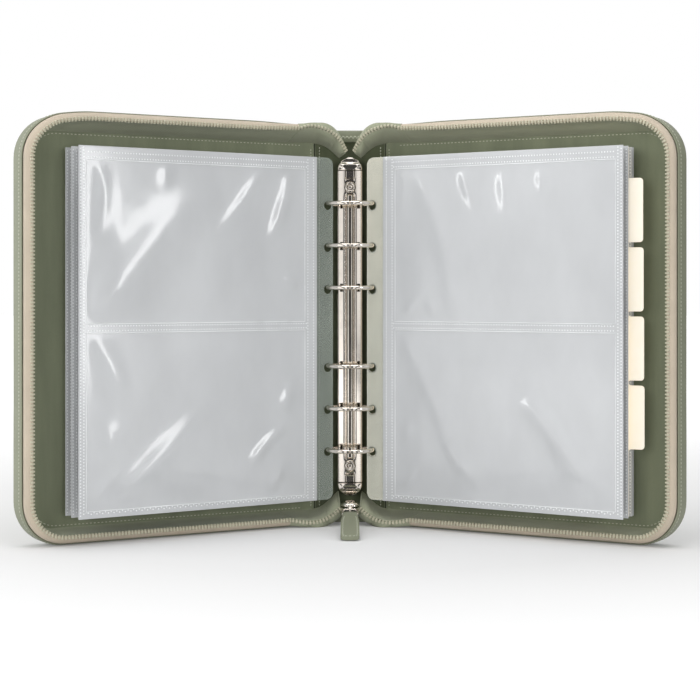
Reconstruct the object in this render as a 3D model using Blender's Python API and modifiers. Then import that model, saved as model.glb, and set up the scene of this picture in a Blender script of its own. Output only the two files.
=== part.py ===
"""Zip-around ring organizer for seed packets, standing open like a book.

The spine stands upright at the origin. Each cover folds about a crease at the
spine's edge, and carries half of the zip. A six-ring mechanism on the spine
holds clear pocket leaves and tab dividers.

X runs to the right, +Y to the back and +Z up. The origin is the middle of the
spine leather's foot. A cover is laid out in its own frame: u runs from the
crease to the fore edge, v from the leather to the inside, and z up.
"""

import math

import bmesh
import bpy
from mathutils import Matrix, Vector

# Covers and spine
COVER_HEIGHT = 0.244
COVER_REACH = 0.2015
SPINE_WIDTH = 0.040
COVER_ANGLE = math.radians(31.8)
CORNER_RADIUS = 0.025
LEATHER = 0.0010
BOARD = 0.0012
LINING = 0.0006
TOUCH_GAP = 0.0003
CREASE_GAP = 0.0035
BOARD_INSET = 0.0020
RIM_HEIGHT = 0.0135
RIM_THICKNESS = 0.0012

# Zip tape, its lining and the chain of teeth, on each half
TAPE_THICKNESS = 0.0008
WALL_LINING_THICKNESS = 0.0008
WALL_LEAN = 0.0034
TAPE_TOP = 0.0165
WALL_LINING_TOP = 0.0155
CHAIN_WIDTH = 0.0024
CHAIN_TOP = 0.0197
TOOTH_PITCH = 0.0041
TOOTH_DEPTH = 0.0012
TOP_GUSSET_LENGTH = 0.024
BOTTOM_GUSSET_LENGTH = 0.095
GUSSET_THICKNESS = 0.0009
TOP_ZIP_DROP = 0.0130
TOP_ZIP_END = (0.0046, 0.0120, COVER_HEIGHT - TOP_ZIP_DROP)

# Ring mechanism
PLATE_WIDTH = 0.016
PLATE_LENGTH = 0.193
PLATE_RISE = 0.0060
PLATE_SHEET = 0.0008
BEAD_WIDTH = 0.0038
BEAD_RISE = 0.0009
RING_RADIUS = 0.0138
RING_TIP_LENGTH = 0.0012
WIRE_RADIUS = 0.0013
RING_CENTRE_RISE = 0.0155
RING_SPACING = 0.0258
RING_GROUP_GAP = 0.048
SLOT_WIDTH = 0.0036
BLADE_SHEET = 0.0012
BLADE_RISE = 0.0020
BLADE_SIDE_GAP = 0.0003
LEVER_LENGTH = 0.0083
LEVER_RISE = 0.0090
LEVER_LIFT = 0.0031
LIP_HEIGHT = 0.0028
LIP_THICKNESS = 0.0012
LIP_HALF_WIDTH = 0.0074
RIVET_INSET = 0.0102
RIVET_HEAD_RADIUS = 0.0036
RIVET_HEAD_HEIGHT = 0.0014
RIVET_DISH_RADIUS = 0.0016
RIVET_CREST_RADIUS = 0.0022
RIVET_SHOULDER_RADIUS = 0.0030
RIVET_SHANK_RADIUS = 0.0016
HOLE_CLEARANCE = 0.0004

# Pocket leaves and dividers
LEAF_LENGTH = 0.174
LEAF_END_CLEARANCE = 0.017
LEAF_HEIGHT = COVER_HEIGHT - 2 * LEAF_END_CLEARANCE
LEAF_THICKNESS = 0.0007
MARGIN_THICKNESS = 0.00035
MARGIN_WIDTH = 0.0180
HOLE_SETBACK = 0.0046
HOLE_RADIUS = 0.0027
LEAF_CORNER = 0.0015
MARGIN_CORNER = 0.0045
DIVIDER_THICKNESS = 0.0003
TAB_REACH = 0.0095
TAB_HEIGHT = 0.0362
TAB_STEP = 0.0391
TAB_CORNER = 0.0020
FIRST_TAB_DROP = 0.0181
# Each sheet: its angle from the picture plane, and where it sits round the ring
LEFT_LEAVES = ((35.3, 4.0), (32.0, 0.0), (28.8, -4.0))
RIGHT_LEAVES = ((34.6, 10.0), (32.3, 6.5), (30.0, -5.4), (29.0, -9.0))
DIVIDERS = ((31.6, 4.0), (31.3, 1.8), (31.0, -0.4), (30.7, -2.6))

# Zip slider, its wire loop and the pull tab
SLIDER_WIDTH = 0.0106
SLIDER_LENGTH = 0.0130
SLIDER_HEIGHT = 0.0080
SLIDER_CENTRE = (0.0, -0.0190, 0.0118)
BAIL_RADIUS = 0.0008
LOOP_WIRE = 0.0006
LOOP_WIDTH = 0.0100
LOOP_LENGTH = 0.0110
LOOP_DROP = 0.0012
TAB_PULL_LENGTH = 0.0500
TAB_PULL_WIDTH = 0.0110
TAB_PULL_NECK = 0.0085
TAB_PULL_THICKNESS = 0.0022
TAB_PULL_CORNER = 0.0030

# Where the zip runs in to the slider: beside it, at its middle
BOTTOM_ZIP_END = (SLIDER_WIDTH / 2 + TOUCH_GAP, -SLIDER_CENTRE[1], SLIDER_CENTRE[2] - GUSSET_THICKNESS / 2)

# Levels in the stack of each panel, measured from the middle of the leather
BOARD_FACE = LEATHER / 2 + TOUCH_GAP
LINING_FACE = BOARD_FACE + BOARD + TOUCH_GAP
INNER_FACE = LINING_FACE + LINING
BLOCK_HALF = SPINE_WIDTH / 2 - CREASE_GAP
MID_HEIGHT = COVER_HEIGHT / 2
RING_CENTRE = INNER_FACE + RING_CENTRE_RISE
CREASE_STEPS = 5
ARC_STEPS = 6

SAGE = (0.36, 0.42, 0.32, 1.0)
SAGE_LINING = (0.27, 0.31, 0.23, 1.0)
GREYBOARD = (0.40, 0.38, 0.34, 1.0)
CREAM = (0.74, 0.67, 0.57, 1.0)
NICKEL = (0.72, 0.67, 0.60, 1.0)
CLEAR_FILM = (0.80, 0.82, 0.84, 1.0)
MARGIN_FILM = (0.66, 0.71, 0.68, 1.0)
IVORY = (0.90, 0.86, 0.76, 1.0)


def clear_scene():
    """Remove what the start-up scene holds."""
    for thing in list(bpy.data.objects):
        bpy.data.objects.remove(thing, do_unlink=True)


def make_material(name, colour, roughness, metallic=0.0):
    """Make one plain Principled material."""
    material = bpy.data.materials.new(name)
    material.use_nodes = True
    shader = material.node_tree.nodes["Principled BSDF"]
    shader.inputs["Base Color"].default_value = colour
    shader.inputs["Roughness"].default_value = roughness
    shader.inputs["Metallic"].default_value = metallic
    return material


def add_empty(name, location, turn=0.0, parent=None):
    """Place an empty, turned about Z, to carry the pieces of one body."""
    empty = bpy.data.objects.new(name, None)
    empty.empty_display_size = 0.02
    empty.location = location
    empty.rotation_euler = (0.0, 0.0, turn)
    PARTS.objects.link(empty)
    empty.parent = parent
    return empty


def add_part(name, mesh, material, parent, smooth_below=None):
    """Put a mesh in the parts collection under its own name."""
    mesh.name = name
    mesh.materials.clear()
    mesh.materials.append(material)
    face_out(mesh)
    if smooth_below is not None:
        mesh.shade_smooth()
        mesh.set_sharp_from_angle(angle=math.radians(smooth_below))
    part = bpy.data.objects.new(name, mesh)
    PARTS.objects.link(part)
    part.parent = parent
    return part


def face_out(mesh):
    """Weld a closed mesh and turn its faces outwards."""
    work = bmesh.new()
    work.from_mesh(mesh)
    bmesh.ops.remove_doubles(work, verts=work.verts, dist=1e-6)
    bmesh.ops.recalc_face_normals(work, faces=work.faces)
    work.to_mesh(mesh)
    work.free()


def mesh_from_curve(curve):
    """Turn curve data into a welded mesh and drop the curve."""
    holder = bpy.data.objects.new("curve_holder", curve)
    PARTS.objects.link(holder)
    bpy.context.view_layer.update()
    graph = bpy.context.evaluated_depsgraph_get()
    mesh = bpy.data.meshes.new_from_object(holder.evaluated_get(graph))
    bpy.data.objects.remove(holder, do_unlink=True)
    face_out(mesh)
    return mesh


def add_spline(curve, points, closed):
    """Add one straight-segment spline through the points."""
    spline = curve.splines.new("POLY")
    spline.points.add(len(points) - 1)
    for slot, point in zip(spline.points, points):
        across, up, *depth = point
        slot.co = (across, up, depth[0] if depth else 0.0, 1.0)
    spline.use_cyclic_u = closed


def flat_sheet(outline, thickness, holes=()):
    """Fill a flat outline, less its holes, to a thickness about its plane."""
    curve = bpy.data.curves.new("outline", "CURVE")
    curve.dimensions = "2D"
    curve.fill_mode = "BOTH"
    curve.extrude = thickness / 2
    add_spline(curve, outline, True)
    for hole in holes:
        add_spline(curve, hole, True)
    return mesh_from_curve(curve)


def wire_mesh(points, radius, closed=False, sides=2):
    """Make a round wire through the points."""
    curve = bpy.data.curves.new("wire", "CURVE")
    curve.dimensions = "3D"
    curve.bevel_depth = radius
    curve.bevel_resolution = sides
    curve.use_fill_caps = not closed
    add_spline(curve, points, closed)
    return mesh_from_curve(curve)


def stand_up(mesh, side, level=0.0):
    """Stand a flat sheet upright: its plane along u and z, its depth along v."""
    upright = Matrix(((1, 0, 0, 0), (0, 0, -side, -side * level), (0, 1, 0, 0), (0, 0, 0, 1)))
    mesh.transform(upright)
    face_out(mesh)
    return mesh


def arc(centre, radius, start, end, steps=ARC_STEPS):
    """Points along an arc, with angles in degrees, both ends included."""
    points = []
    for step in range(steps + 1):
        angle = math.radians(start + (end - start) * step / steps)
        points.append((centre[0] + radius * math.cos(angle), centre[1] + radius * math.sin(angle)))
    return points


def circle(centre, radius, steps=10):
    """Points round a circle."""
    return arc(centre, radius, 0, 360 * (steps - 1) / steps, steps - 1)


def rounded_box(low, high, radius):
    """Outline of a box with four round corners."""
    left, bottom = low[0] + radius, low[1] + radius
    right, top = high[0] - radius, high[1] - radius
    outline = arc((right, bottom), radius, -90, 0)
    outline += arc((right, top), radius, 0, 90)
    outline += arc((left, top), radius, 90, 180)
    outline += arc((left, bottom), radius, 180, 270)
    return outline


def cover_outline(near, inset, bottom_start=None):
    """Outline of a cover panel: square at the crease, round at the fore edge."""
    radius = CORNER_RADIUS - inset
    far = COVER_REACH - CORNER_RADIUS
    low = CORNER_RADIUS
    high = COVER_HEIGHT - CORNER_RADIUS
    start = near if bottom_start is None else bottom_start
    outline = [(start, inset)]
    outline += arc((far, low), radius, -90, 0)
    outline += arc((far, high), radius, 0, 90)
    outline.append((near, COVER_HEIGHT - inset))
    return outline


def loft(sections):
    """Skin a row of sections that have the same number of points."""
    work = bmesh.new()
    rings = [[work.verts.new(point) for point in section] for section in sections]
    count = len(rings[0])
    for first, second in zip(rings, rings[1:]):
        for index in range(count):
            after = (index + 1) % count
            work.faces.new((first[index], first[after], second[after], second[index]))
    work.faces.new(rings[0])
    work.faces.new(list(reversed(rings[-1])))
    mesh = bpy.data.meshes.new("loft")
    work.to_mesh(mesh)
    work.free()
    return mesh


def boolean(target, cutter_mesh, operation):
    """Apply one exact Boolean with a mesh that is then dropped."""
    cutter = bpy.data.objects.new("cutter", cutter_mesh)
    CUTTERS.objects.link(cutter)
    cutter.hide_render = True
    cutter.display_type = "WIRE"
    holder = bpy.data.objects.new("target", target)
    CUTTERS.objects.link(holder)
    cut = holder.modifiers.new("cut", "BOOLEAN")
    cut.operation = operation
    cut.solver = "EXACT"
    cut.object = cutter
    bpy.context.view_layer.update()
    graph = bpy.context.evaluated_depsgraph_get()
    result = bpy.data.meshes.new_from_object(holder.evaluated_get(graph))
    bpy.data.objects.remove(holder, do_unlink=True)
    bpy.data.objects.remove(cutter, do_unlink=True)
    return result


def block(centre, size):
    """A plain box mesh."""
    work = bmesh.new()
    bmesh.ops.create_cube(work, size=1.0)
    work.transform(Matrix.Translation(centre) @ Matrix.Diagonal((*size, 1.0)))
    mesh = bpy.data.meshes.new("block")
    work.to_mesh(mesh)
    work.free()
    return mesh


def drum(centre, radius, depth, axis="Y", sides=12):
    """A plain cylinder mesh along Y, or along Z or X."""
    turns = {"Y": Matrix.Rotation(math.pi / 2, 4, "X"), "Z": Matrix.Identity(4),
             "X": Matrix.Rotation(math.pi / 2, 4, "Y")}
    work = bmesh.new()
    bmesh.ops.create_cone(work, cap_ends=True, segments=sides, radius1=radius,
                          radius2=radius, depth=depth)
    work.transform(Matrix.Translation(centre) @ turns[axis])
    mesh = bpy.data.meshes.new("drum")
    work.to_mesh(mesh)
    work.free()
    return mesh


def build_spine(parent, paint):
    """The upright middle panel: leather, board and lining, pierced for the rivets."""
    rivets = [(0.0, height) for height in rivet_heights()]
    holes = [circle(place, RIVET_SHANK_RADIUS + HOLE_CLEARANCE, 10) for place in rivets]
    leather = rounded_box((-BLOCK_HALF, 0.0), (BLOCK_HALF, COVER_HEIGHT), LEATHER)
    add_part("spine_leather", stand_up(flat_sheet(leather, LEATHER), 1), paint["leather"], parent)
    low, high = BOARD_INSET, COVER_HEIGHT - BOARD_INSET
    panel = [(-BLOCK_HALF, low), (BLOCK_HALF, low), (BLOCK_HALF, high), (-BLOCK_HALF, high)]
    board = stand_up(flat_sheet(panel, BOARD, holes), 1, BOARD_FACE + BOARD / 2)
    add_part("spine_board", board, paint["board"], parent)
    lining = stand_up(flat_sheet(panel, LINING, holes), 1, LINING_FACE + LINING / 2)
    add_part("spine_lining", lining, paint["lining"], parent)


def crease_points(side, level, reach):
    """A bent strip's line over one crease, in plan, at a level above the leather."""
    start = SPINE_WIDTH / 2 - reach
    bend = reach / math.tan(COVER_ANGLE / 2)
    points = []
    for step in range(CREASE_STEPS + 1):
        angle = COVER_ANGLE * step / CREASE_STEPS
        x = start + (bend - level) * math.sin(angle)
        points.append((side * x, (bend - level) * math.cos(angle) - bend))
    return points


def crease_strip(side, level, thickness, reach, inset):
    """A strip of sheet that bends round one crease from the spine to the cover."""
    inner = crease_points(side, level + thickness / 2, reach)
    outer = crease_points(side, level - thickness / 2, reach)
    low, high = inset, COVER_HEIGHT - inset
    sections = []
    for near, far in zip(inner, outer):
        sections.append([(*near, low), (*far, low), (*far, high), (*near, high)])
    return loft(sections)


def build_creases(parent, paint):
    """The leather and the lining that bend between the spine and each cover."""
    reach = CREASE_GAP - TOUCH_GAP
    lining_level = LINING_FACE + LINING / 2
    for side, word in ((-1, "left"), (1, "right")):
        leather = crease_strip(side, 0.0, LEATHER, reach, 0.0)
        add_part(word + "_crease_leather", leather, paint["leather"], parent)
        lining = crease_strip(side, lining_level, LINING, reach, BOARD_INSET)
        add_part(word + "_crease_lining", lining, paint["lining"], parent)


def wall_lean(level):
    """How far the zip wall leans in from the cover's edge at a height above the leather."""
    return RIM_THICKNESS + TOUCH_GAP + WALL_LEAN * max(0.0, level - INNER_FACE) / CHAIN_TOP


def wall_profile(low, high, offset, thickness):
    """Section of a leaning wall as (inset, level) pairs, outer side first."""
    start, end = wall_lean(low) + offset, wall_lean(high) + offset
    return [(start, low), (start + thickness, low), (end + thickness, high), (end, high)]


def edge_stations(top_start, bottom_start, steps=ARC_STEPS):
    """Places along the cover's edge, each with its inward direction, from bottom to top."""
    far = COVER_REACH - CORNER_RADIUS
    high = COVER_HEIGHT - CORNER_RADIUS
    stations = [(Vector((bottom_start, 0.0)), Vector((0.0, 1.0)))]
    for centre, start in (((far, CORNER_RADIUS), -90), ((far, high), 0)):
        for point in arc(centre, CORNER_RADIUS, start, start + 90, steps):
            place = Vector(point)
            stations.append((place, (Vector(centre) - place).normalized()))
    stations.append((Vector((top_start, COVER_HEIGHT)), Vector((0.0, -1.0))))
    return stations


def wall_mesh(side, stations, profile_at):
    """Sweep a wall section along the cover's edge."""
    sections = []
    for index, (place, inward) in enumerate(stations):
        section = []
        for inset, level in profile_at(index):
            point = place + inward * inset
            section.append((point.x, -side * level, point.y))
        sections.append(section)
    return loft(sections)


def spaced_stations(stations, pitch):
    """Walk the edge in equal steps of half a tooth pitch."""
    places = [station[0] for station in stations]
    lengths = [(b - a).length for a, b in zip(places, places[1:])]
    count = int(sum(lengths) / (pitch / 2))
    result = []
    for number in range(count + 1):
        left = sum(lengths) * number / count
        index = 0
        while index < len(lengths) - 1 and left > lengths[index]:
            left -= lengths[index]
            index += 1
        share = min(1.0, left / lengths[index])
        place = places[index].lerp(places[index + 1], share)
        inward = stations[index][1].lerp(stations[index + 1][1], share).normalized()
        result.append((place, inward))
    return result


def build_cover(side, word, parent, paint):
    """One cover: leather tray, board, lining, and its half of the zip."""
    near = CREASE_GAP
    outer = flat_sheet(cover_outline(near, 0.0), RIM_HEIGHT + LEATHER / 2)
    outer = stand_up(outer, side, (RIM_HEIGHT - LEATHER / 2) / 2)
    room = flat_sheet(cover_outline(near - CREASE_GAP, RIM_THICKNESS), RIM_HEIGHT)
    room = stand_up(room, side, LEATHER / 2 + RIM_HEIGHT / 2)
    add_part(word + "_cover_leather", boolean(outer, room, "DIFFERENCE"), paint["leather"], parent)
    board = stand_up(flat_sheet(cover_outline(near, BOARD_INSET), BOARD), side, BOARD_FACE + BOARD / 2)
    add_part(word + "_cover_board", board, paint["board"], parent)
    lining = stand_up(flat_sheet(cover_outline(near, BOARD_INSET), LINING), side, LINING_FACE + LINING / 2)
    add_part(word + "_cover_lining", lining, paint["lining"], parent)
    build_zip_half(side, word, parent, paint)


def build_zip_half(side, word, parent, paint):
    """The tape, its lining and the toothed chain round three edges of a cover."""
    stations = edge_stations(TOP_GUSSET_LENGTH, BOTTOM_GUSSET_LENGTH)
    foot = INNER_FACE + TOUCH_GAP
    tape = wall_profile(foot, TAPE_TOP, 0.0, TAPE_THICKNESS)
    add_part(word + "_zip_tape", wall_mesh(side, stations, lambda index: tape), paint["tape"], parent)
    behind = TAPE_THICKNESS + TOUCH_GAP
    inner = wall_profile(foot, WALL_LINING_TOP, behind, WALL_LINING_THICKNESS)
    add_part(word + "_wall_lining", wall_mesh(side, stations, lambda index: inner), paint["lining"], parent)
    start = TAPE_TOP + TOUCH_GAP
    tips = (wall_profile(start, CHAIN_TOP, 0.0, CHAIN_WIDTH),
            wall_profile(start, CHAIN_TOP - TOOTH_DEPTH, 0.0, CHAIN_WIDTH))
    walk = spaced_stations(edge_stations(TOP_GUSSET_LENGTH, BOTTOM_GUSSET_LENGTH, 8), TOOTH_PITCH)
    chain = wall_mesh(side, walk, lambda index: tips[index % 2])
    add_part(word + "_zip_chain", chain, paint["metal"], parent)


def in_plan(side, u, level):
    """World place, in plan, of a point of a cover."""
    x = side * (SPINE_WIDTH / 2 + u * math.cos(COVER_ANGLE) - level * math.sin(COVER_ANGLE))
    return x, -(u * math.sin(COVER_ANGLE) + level * math.cos(COVER_ANGLE))


def gusset_mesh(side, top):
    """Soft wall that runs on from a cover's zip wall and folds in to the zip's end."""
    length = (TOP_GUSSET_LENGTH if top else BOTTOM_GUSSET_LENGTH) - TOUCH_GAP
    end = TOP_ZIP_END if top else BOTTOM_ZIP_END
    foot_level = INNER_FACE + TOUCH_GAP
    bend = min(TOP_GUSSET_LENGTH, length) - TOUCH_GAP
    sections = []
    runs = [length, bend] if length > bend + TOUCH_GAP else [length]
    for u in runs:
        sections.append(gusset_section(in_plan(side, u, foot_level), wall_lean(foot_level),
                                       in_plan(side, u, CHAIN_TOP), wall_lean(CHAIN_TOP), top))
    foot_start = in_plan(side, bend, foot_level)
    foot_end = (side * (BLOCK_HALF - CREASE_GAP), -foot_level)
    crest_start = in_plan(side, bend, CHAIN_TOP)
    crest_end = (side * end[0], -end[1])
    sink = (COVER_HEIGHT - end[2]) if top else end[2]
    steps = 5
    for step in range(1, steps + 1):
        share = step / steps
        ease = share * share * (3 - 2 * share)
        foot = [a + (b - a) * share for a, b in zip(foot_start, foot_end)]
        crest = [a + (b - a) * share for a, b in zip(crest_start, crest_end)]
        foot_rise = wall_lean(foot_level) + (BOARD_INSET + GUSSET_THICKNESS) * ease
        crest_rise = wall_lean(CHAIN_TOP) + (sink - wall_lean(CHAIN_TOP)) * ease
        sections.append(gusset_section(foot, foot_rise, crest, crest_rise, top))
    return loft(sections)


def gusset_section(foot, foot_rise, crest, crest_rise, top):
    """Four corners of the sheet between its foot and its crest."""
    corners = []
    for place, rise, offset in ((foot, foot_rise, 0.0), (crest, crest_rise, 0.0),
                                (crest, crest_rise, GUSSET_THICKNESS), (foot, foot_rise, GUSSET_THICKNESS)):
        height = rise + offset
        corners.append((place[0], place[1], COVER_HEIGHT - height if top else height))
    return corners


def build_gussets(parent, paint):
    """The four soft folds where the zip walls run in to the spine."""
    for side, word in ((-1, "left"), (1, "right")):
        for top, end in ((True, "top"), (False, "bottom")):
            name = end + "_" + word + "_gusset"
            add_part(name, gusset_mesh(side, top), paint["lining"], parent)


def ring_heights():
    """Heights of the six rings, from the bottom up."""
    half = RING_GROUP_GAP / 2
    above = [half + RING_SPACING * step for step in range(3)]
    return sorted([MID_HEIGHT - rise for rise in above] + [MID_HEIGHT + rise for rise in above])


def rivet_heights():
    """Heights of the two rivets, bottom first."""
    reach = PLATE_LENGTH / 2 - RIVET_INSET
    return [MID_HEIGHT - reach, MID_HEIGHT + reach]


def plate_level(x, sheet=0.0):
    """Height of the arched plate's outside, or of its inside, above the spine leather."""
    base = INNER_FACE + TOUCH_GAP
    half = PLATE_WIDTH / 2 - sheet
    rise = PLATE_RISE - sheet
    share = max(0.0, 1.0 - (abs(x) / half) ** 2)
    return base + rise * math.sqrt(share)


def plate_section():
    """Section of the arched plate: over the outside, with its bead, and back inside."""
    base = INNER_FACE + TOUCH_GAP
    half = PLATE_WIDTH / 2
    bead = BEAD_WIDTH / 2
    outside = [(-half, base)]
    for share in (0.985, 0.92, 0.8, 0.6):
        outside.append((-half * share, plate_level(half * share)))
    outside.append((-bead, plate_level(bead)))
    outside.append((-bead * 0.75, plate_level(0.0) + BEAD_RISE))
    outside += [(-x, level) for x, level in reversed(outside)]
    inner_half = half - PLATE_SHEET
    inside = [(inner_half, base)]
    for share in (0.97, 0.85, 0.6, 0.3):
        inside.append((inner_half * share, plate_level(inner_half * share, PLATE_SHEET)))
    inside += [(-x, level) for x, level in reversed(inside)]
    return outside + inside


def build_plate(parent, paint):
    """The arched plate, with a slot at each ring and a hole at each rivet."""
    low = MID_HEIGHT - PLATE_LENGTH / 2
    high = MID_HEIGHT + PLATE_LENGTH / 2
    section = plate_section()
    plate = loft([[(x, -level, z) for x, level in section] for z in (low, high)])
    slot_depth = PLATE_RISE * 2
    slot_reach = PLATE_WIDTH * 0.24
    for height in ring_heights():
        for side in (-1, 1):
            middle = (side * (PLATE_WIDTH / 2 - slot_reach / 2 + TOUCH_GAP), -plate_level(0.0), height)
            plate = boolean(plate, block(middle, (slot_reach, slot_depth, SLOT_WIDTH)), "DIFFERENCE")
    for height in rivet_heights():
        hole = drum((0, -plate_level(0.0), height), RIVET_SHANK_RADIUS + HOLE_CLEARANCE, PLATE_RISE)
        plate = boolean(plate, hole, "DIFFERENCE")
        seat = drum((0, -plate_level(0.0) - PLATE_RISE / 2, height),
                    RIVET_HEAD_RADIUS + TOUCH_GAP, PLATE_RISE, "Y", 16)
        plate = boolean(plate, seat, "DIFFERENCE")
    add_part("ring_plate", plate, paint["metal"], parent, 40)


def ring_half_points(side, height):
    """Middle line of half a ring, from its foot on the blade to its tip."""
    blade_level = INNER_FACE + BLADE_RISE + BLADE_SHEET / 2
    foot_drop = RING_CENTRE - blade_level
    foot_angle = math.degrees(math.acos(min(1.0, foot_drop / RING_RADIUS)))
    last_angle = 180 - math.degrees(math.asin(RING_TIP_LENGTH / RING_RADIUS))
    points = []
    steps = 10
    for step in range(steps + 1):
        angle = math.radians(foot_angle + (last_angle - foot_angle) * step / steps)
        x = side * RING_RADIUS * math.sin(angle)
        level = RING_CENTRE - RING_RADIUS * math.cos(angle)
        points.append((x, -level, height))
    tip_level = RING_CENTRE + RING_RADIUS * math.cos(math.radians(180 - last_angle))
    points.append((side * TOUCH_GAP / 2, -tip_level, height))
    return points


def blade_edge():
    """How far out a blade reaches: to the arched plate's inside at its own height."""
    climb = (BLADE_RISE + BLADE_SHEET / 2 - TOUCH_GAP) / (PLATE_RISE - PLATE_SHEET)
    inner_half = PLATE_WIDTH / 2 - PLATE_SHEET
    return inner_half * math.sqrt(1.0 - climb * climb) - BLADE_SIDE_GAP


def blade_pivot(side):
    """Where a blade turns in the plate's edge, in plan."""
    return side * (blade_edge() - BLADE_SHEET / 2), -(INNER_FACE + BLADE_RISE)


def build_ring_half(side, word, parent, paint):
    """Three and three half rings staked to one blade that turns in the plate's edge."""
    outer = blade_edge()
    level = -(INNER_FACE + BLADE_RISE)
    inner = TOUCH_GAP / 2
    length = PLATE_LENGTH - 2 * PLATE_SHEET
    centre = (side * (outer + inner) / 2, level, MID_HEIGHT)
    blade = block(centre, (outer - inner, BLADE_SHEET, length))
    for height in rivet_heights():
        hole = drum((0, level, height), RIVET_SHANK_RADIUS + 2 * HOLE_CLEARANCE, PLATE_RISE)
        blade = boolean(blade, hole, "DIFFERENCE")
    for height in ring_heights():
        half_ring = wire_mesh(ring_half_points(side, height), WIRE_RADIUS)
        blade = boolean(blade, half_ring, "UNION")
    blade.transform(Matrix.Translation(-Vector(parent.location)))
    add_part(word + "_rings", blade, paint["metal"], parent, 50)


def lever_mesh():
    """End lever for the top of the plate: a domed hood with a lip to press."""
    work = bmesh.new()
    bmesh.ops.create_uvsphere(work, u_segments=20, v_segments=12, radius=1.0)
    hood_rise = LEVER_RISE - LEVER_LIFT
    work.transform(Matrix.Diagonal((PLATE_WIDTH / 2, hood_rise, LEVER_LENGTH, 1.0)))
    for normal in ((0, -1, 0), (0, 0, 1)):
        everything = list(work.verts) + list(work.edges) + list(work.faces)
        cut = bmesh.ops.bisect_plane(work, geom=everything, plane_co=(0, 0, 0),
                                     plane_no=normal, clear_inner=True)
        edges = [item for item in cut["geom_cut"] if isinstance(item, bmesh.types.BMEdge)]
        bmesh.ops.contextual_create(work, geom=edges)
    mesh = bpy.data.meshes.new("hood")
    work.to_mesh(mesh)
    work.free()
    face_out(mesh)
    lip_outline = arc((0.0, 0.0), LIP_HALF_WIDTH, 180, 0, 10)
    lip = flat_sheet(lip_outline, LIP_THICKNESS)
    squash = (hood_rise + LIP_HEIGHT) / LIP_HALF_WIDTH
    lip.transform(Matrix.Diagonal((1, squash, 1, 1)))
    lip.transform(Matrix.Rotation(math.pi, 4, "Z"))
    lip.transform(Matrix.Translation((0, 0, LIP_THICKNESS / 2)))
    return boolean(mesh, lip, "UNION")


def build_levers(top_parent, bottom_parent, paint):
    """The two end levers, each turning about an axis across the plate's end."""
    top = lever_mesh()
    add_part("top_lever", top, paint["metal"], top_parent, 40)
    bottom = lever_mesh()
    bottom.transform(Matrix.Rotation(math.pi, 4, "Y"))
    add_part("bottom_lever", bottom, paint["metal"], bottom_parent, 40)


def rivet_mesh():
    """A turned rivet: a domed head with a dished middle, on a straight shank."""
    head = RIVET_HEAD_RADIUS
    rise = RIVET_HEAD_HEIGHT
    shank = RIVET_SHANK_RADIUS
    foot = plate_level(0.0) - BOARD_FACE
    profile = [(0.0, rise * 0.55), (RIVET_DISH_RADIUS, rise * 0.6), (RIVET_CREST_RADIUS, rise),
               (RIVET_SHOULDER_RADIUS, rise * 0.92), (head, rise * 0.35), (head, 0.0),
               (shank, 0.0), (shank, -foot), (0.0, -foot)]
    work = bmesh.new()
    verts = [work.verts.new((radius, 0.0, level)) for radius, level in profile]
    for first, second in zip(verts, verts[1:]):
        work.edges.new((first, second))
    mesh = bpy.data.meshes.new("rivet_profile")
    work.to_mesh(mesh)
    work.free()
    holder = bpy.data.objects.new("rivet_profile", mesh)
    PARTS.objects.link(holder)
    screw = holder.modifiers.new("turn", "SCREW")
    screw.steps = 16
    screw.render_steps = 16
    screw.use_merge_vertices = True
    screw.merge_threshold = 0.00001
    bpy.context.view_layer.update()
    graph = bpy.context.evaluated_depsgraph_get()
    turned = bpy.data.meshes.new_from_object(holder.evaluated_get(graph))
    bpy.data.objects.remove(holder, do_unlink=True)
    turned.transform(Matrix.Rotation(math.pi / 2, 4, "X"))
    return turned


def build_rivets(parent, paint):
    """The two rivets that hold the mechanism to the spine."""
    seat = plate_level(0.0) + TOUCH_GAP
    for height, word in zip(rivet_heights(), ("bottom", "top")):
        rivet = rivet_mesh()
        rivet.transform(Matrix.Translation((0, -seat, height)))
        add_part(word + "_rivet", rivet, paint["metal"], parent, 40)


def leaf_bounds():
    """Lowest and highest height of a leaf that hangs on the rings."""
    drop = HOLE_RADIUS - WIRE_RADIUS - TOUCH_GAP
    return MID_HEIGHT - LEAF_HEIGHT / 2 - drop, MID_HEIGHT + LEAF_HEIGHT / 2 - drop


def leaf_holes():
    """The six punched holes of a leaf, in its own plane."""
    drop = HOLE_RADIUS - WIRE_RADIUS - TOUCH_GAP
    return [circle((0.0, height - drop), HOLE_RADIUS) for height in ring_heights()]


def sheet_frame(side, angle, place, thickness, parent):
    """Matrix that carries a flat sheet from its outline plane to its place on the rings."""
    turn = math.radians(place)
    x = side * RING_RADIUS * math.cos(turn)
    y = -RING_CENTRE - RING_RADIUS * math.sin(turn)
    lean = math.radians(angle)
    along = Vector((side * math.cos(lean), -math.sin(lean), 0))
    across = Vector((side * math.sin(lean), math.cos(lean), 0))
    frame = Matrix.Identity(4)
    frame.col[0] = (*along, 0)
    frame.col[1] = (0, 0, 1, 0)
    frame.col[2] = (*across, 0)
    frame.col[3] = (x, y, 0, 1)
    return Matrix.Translation(-Vector(parent.location)) @ frame


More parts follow.
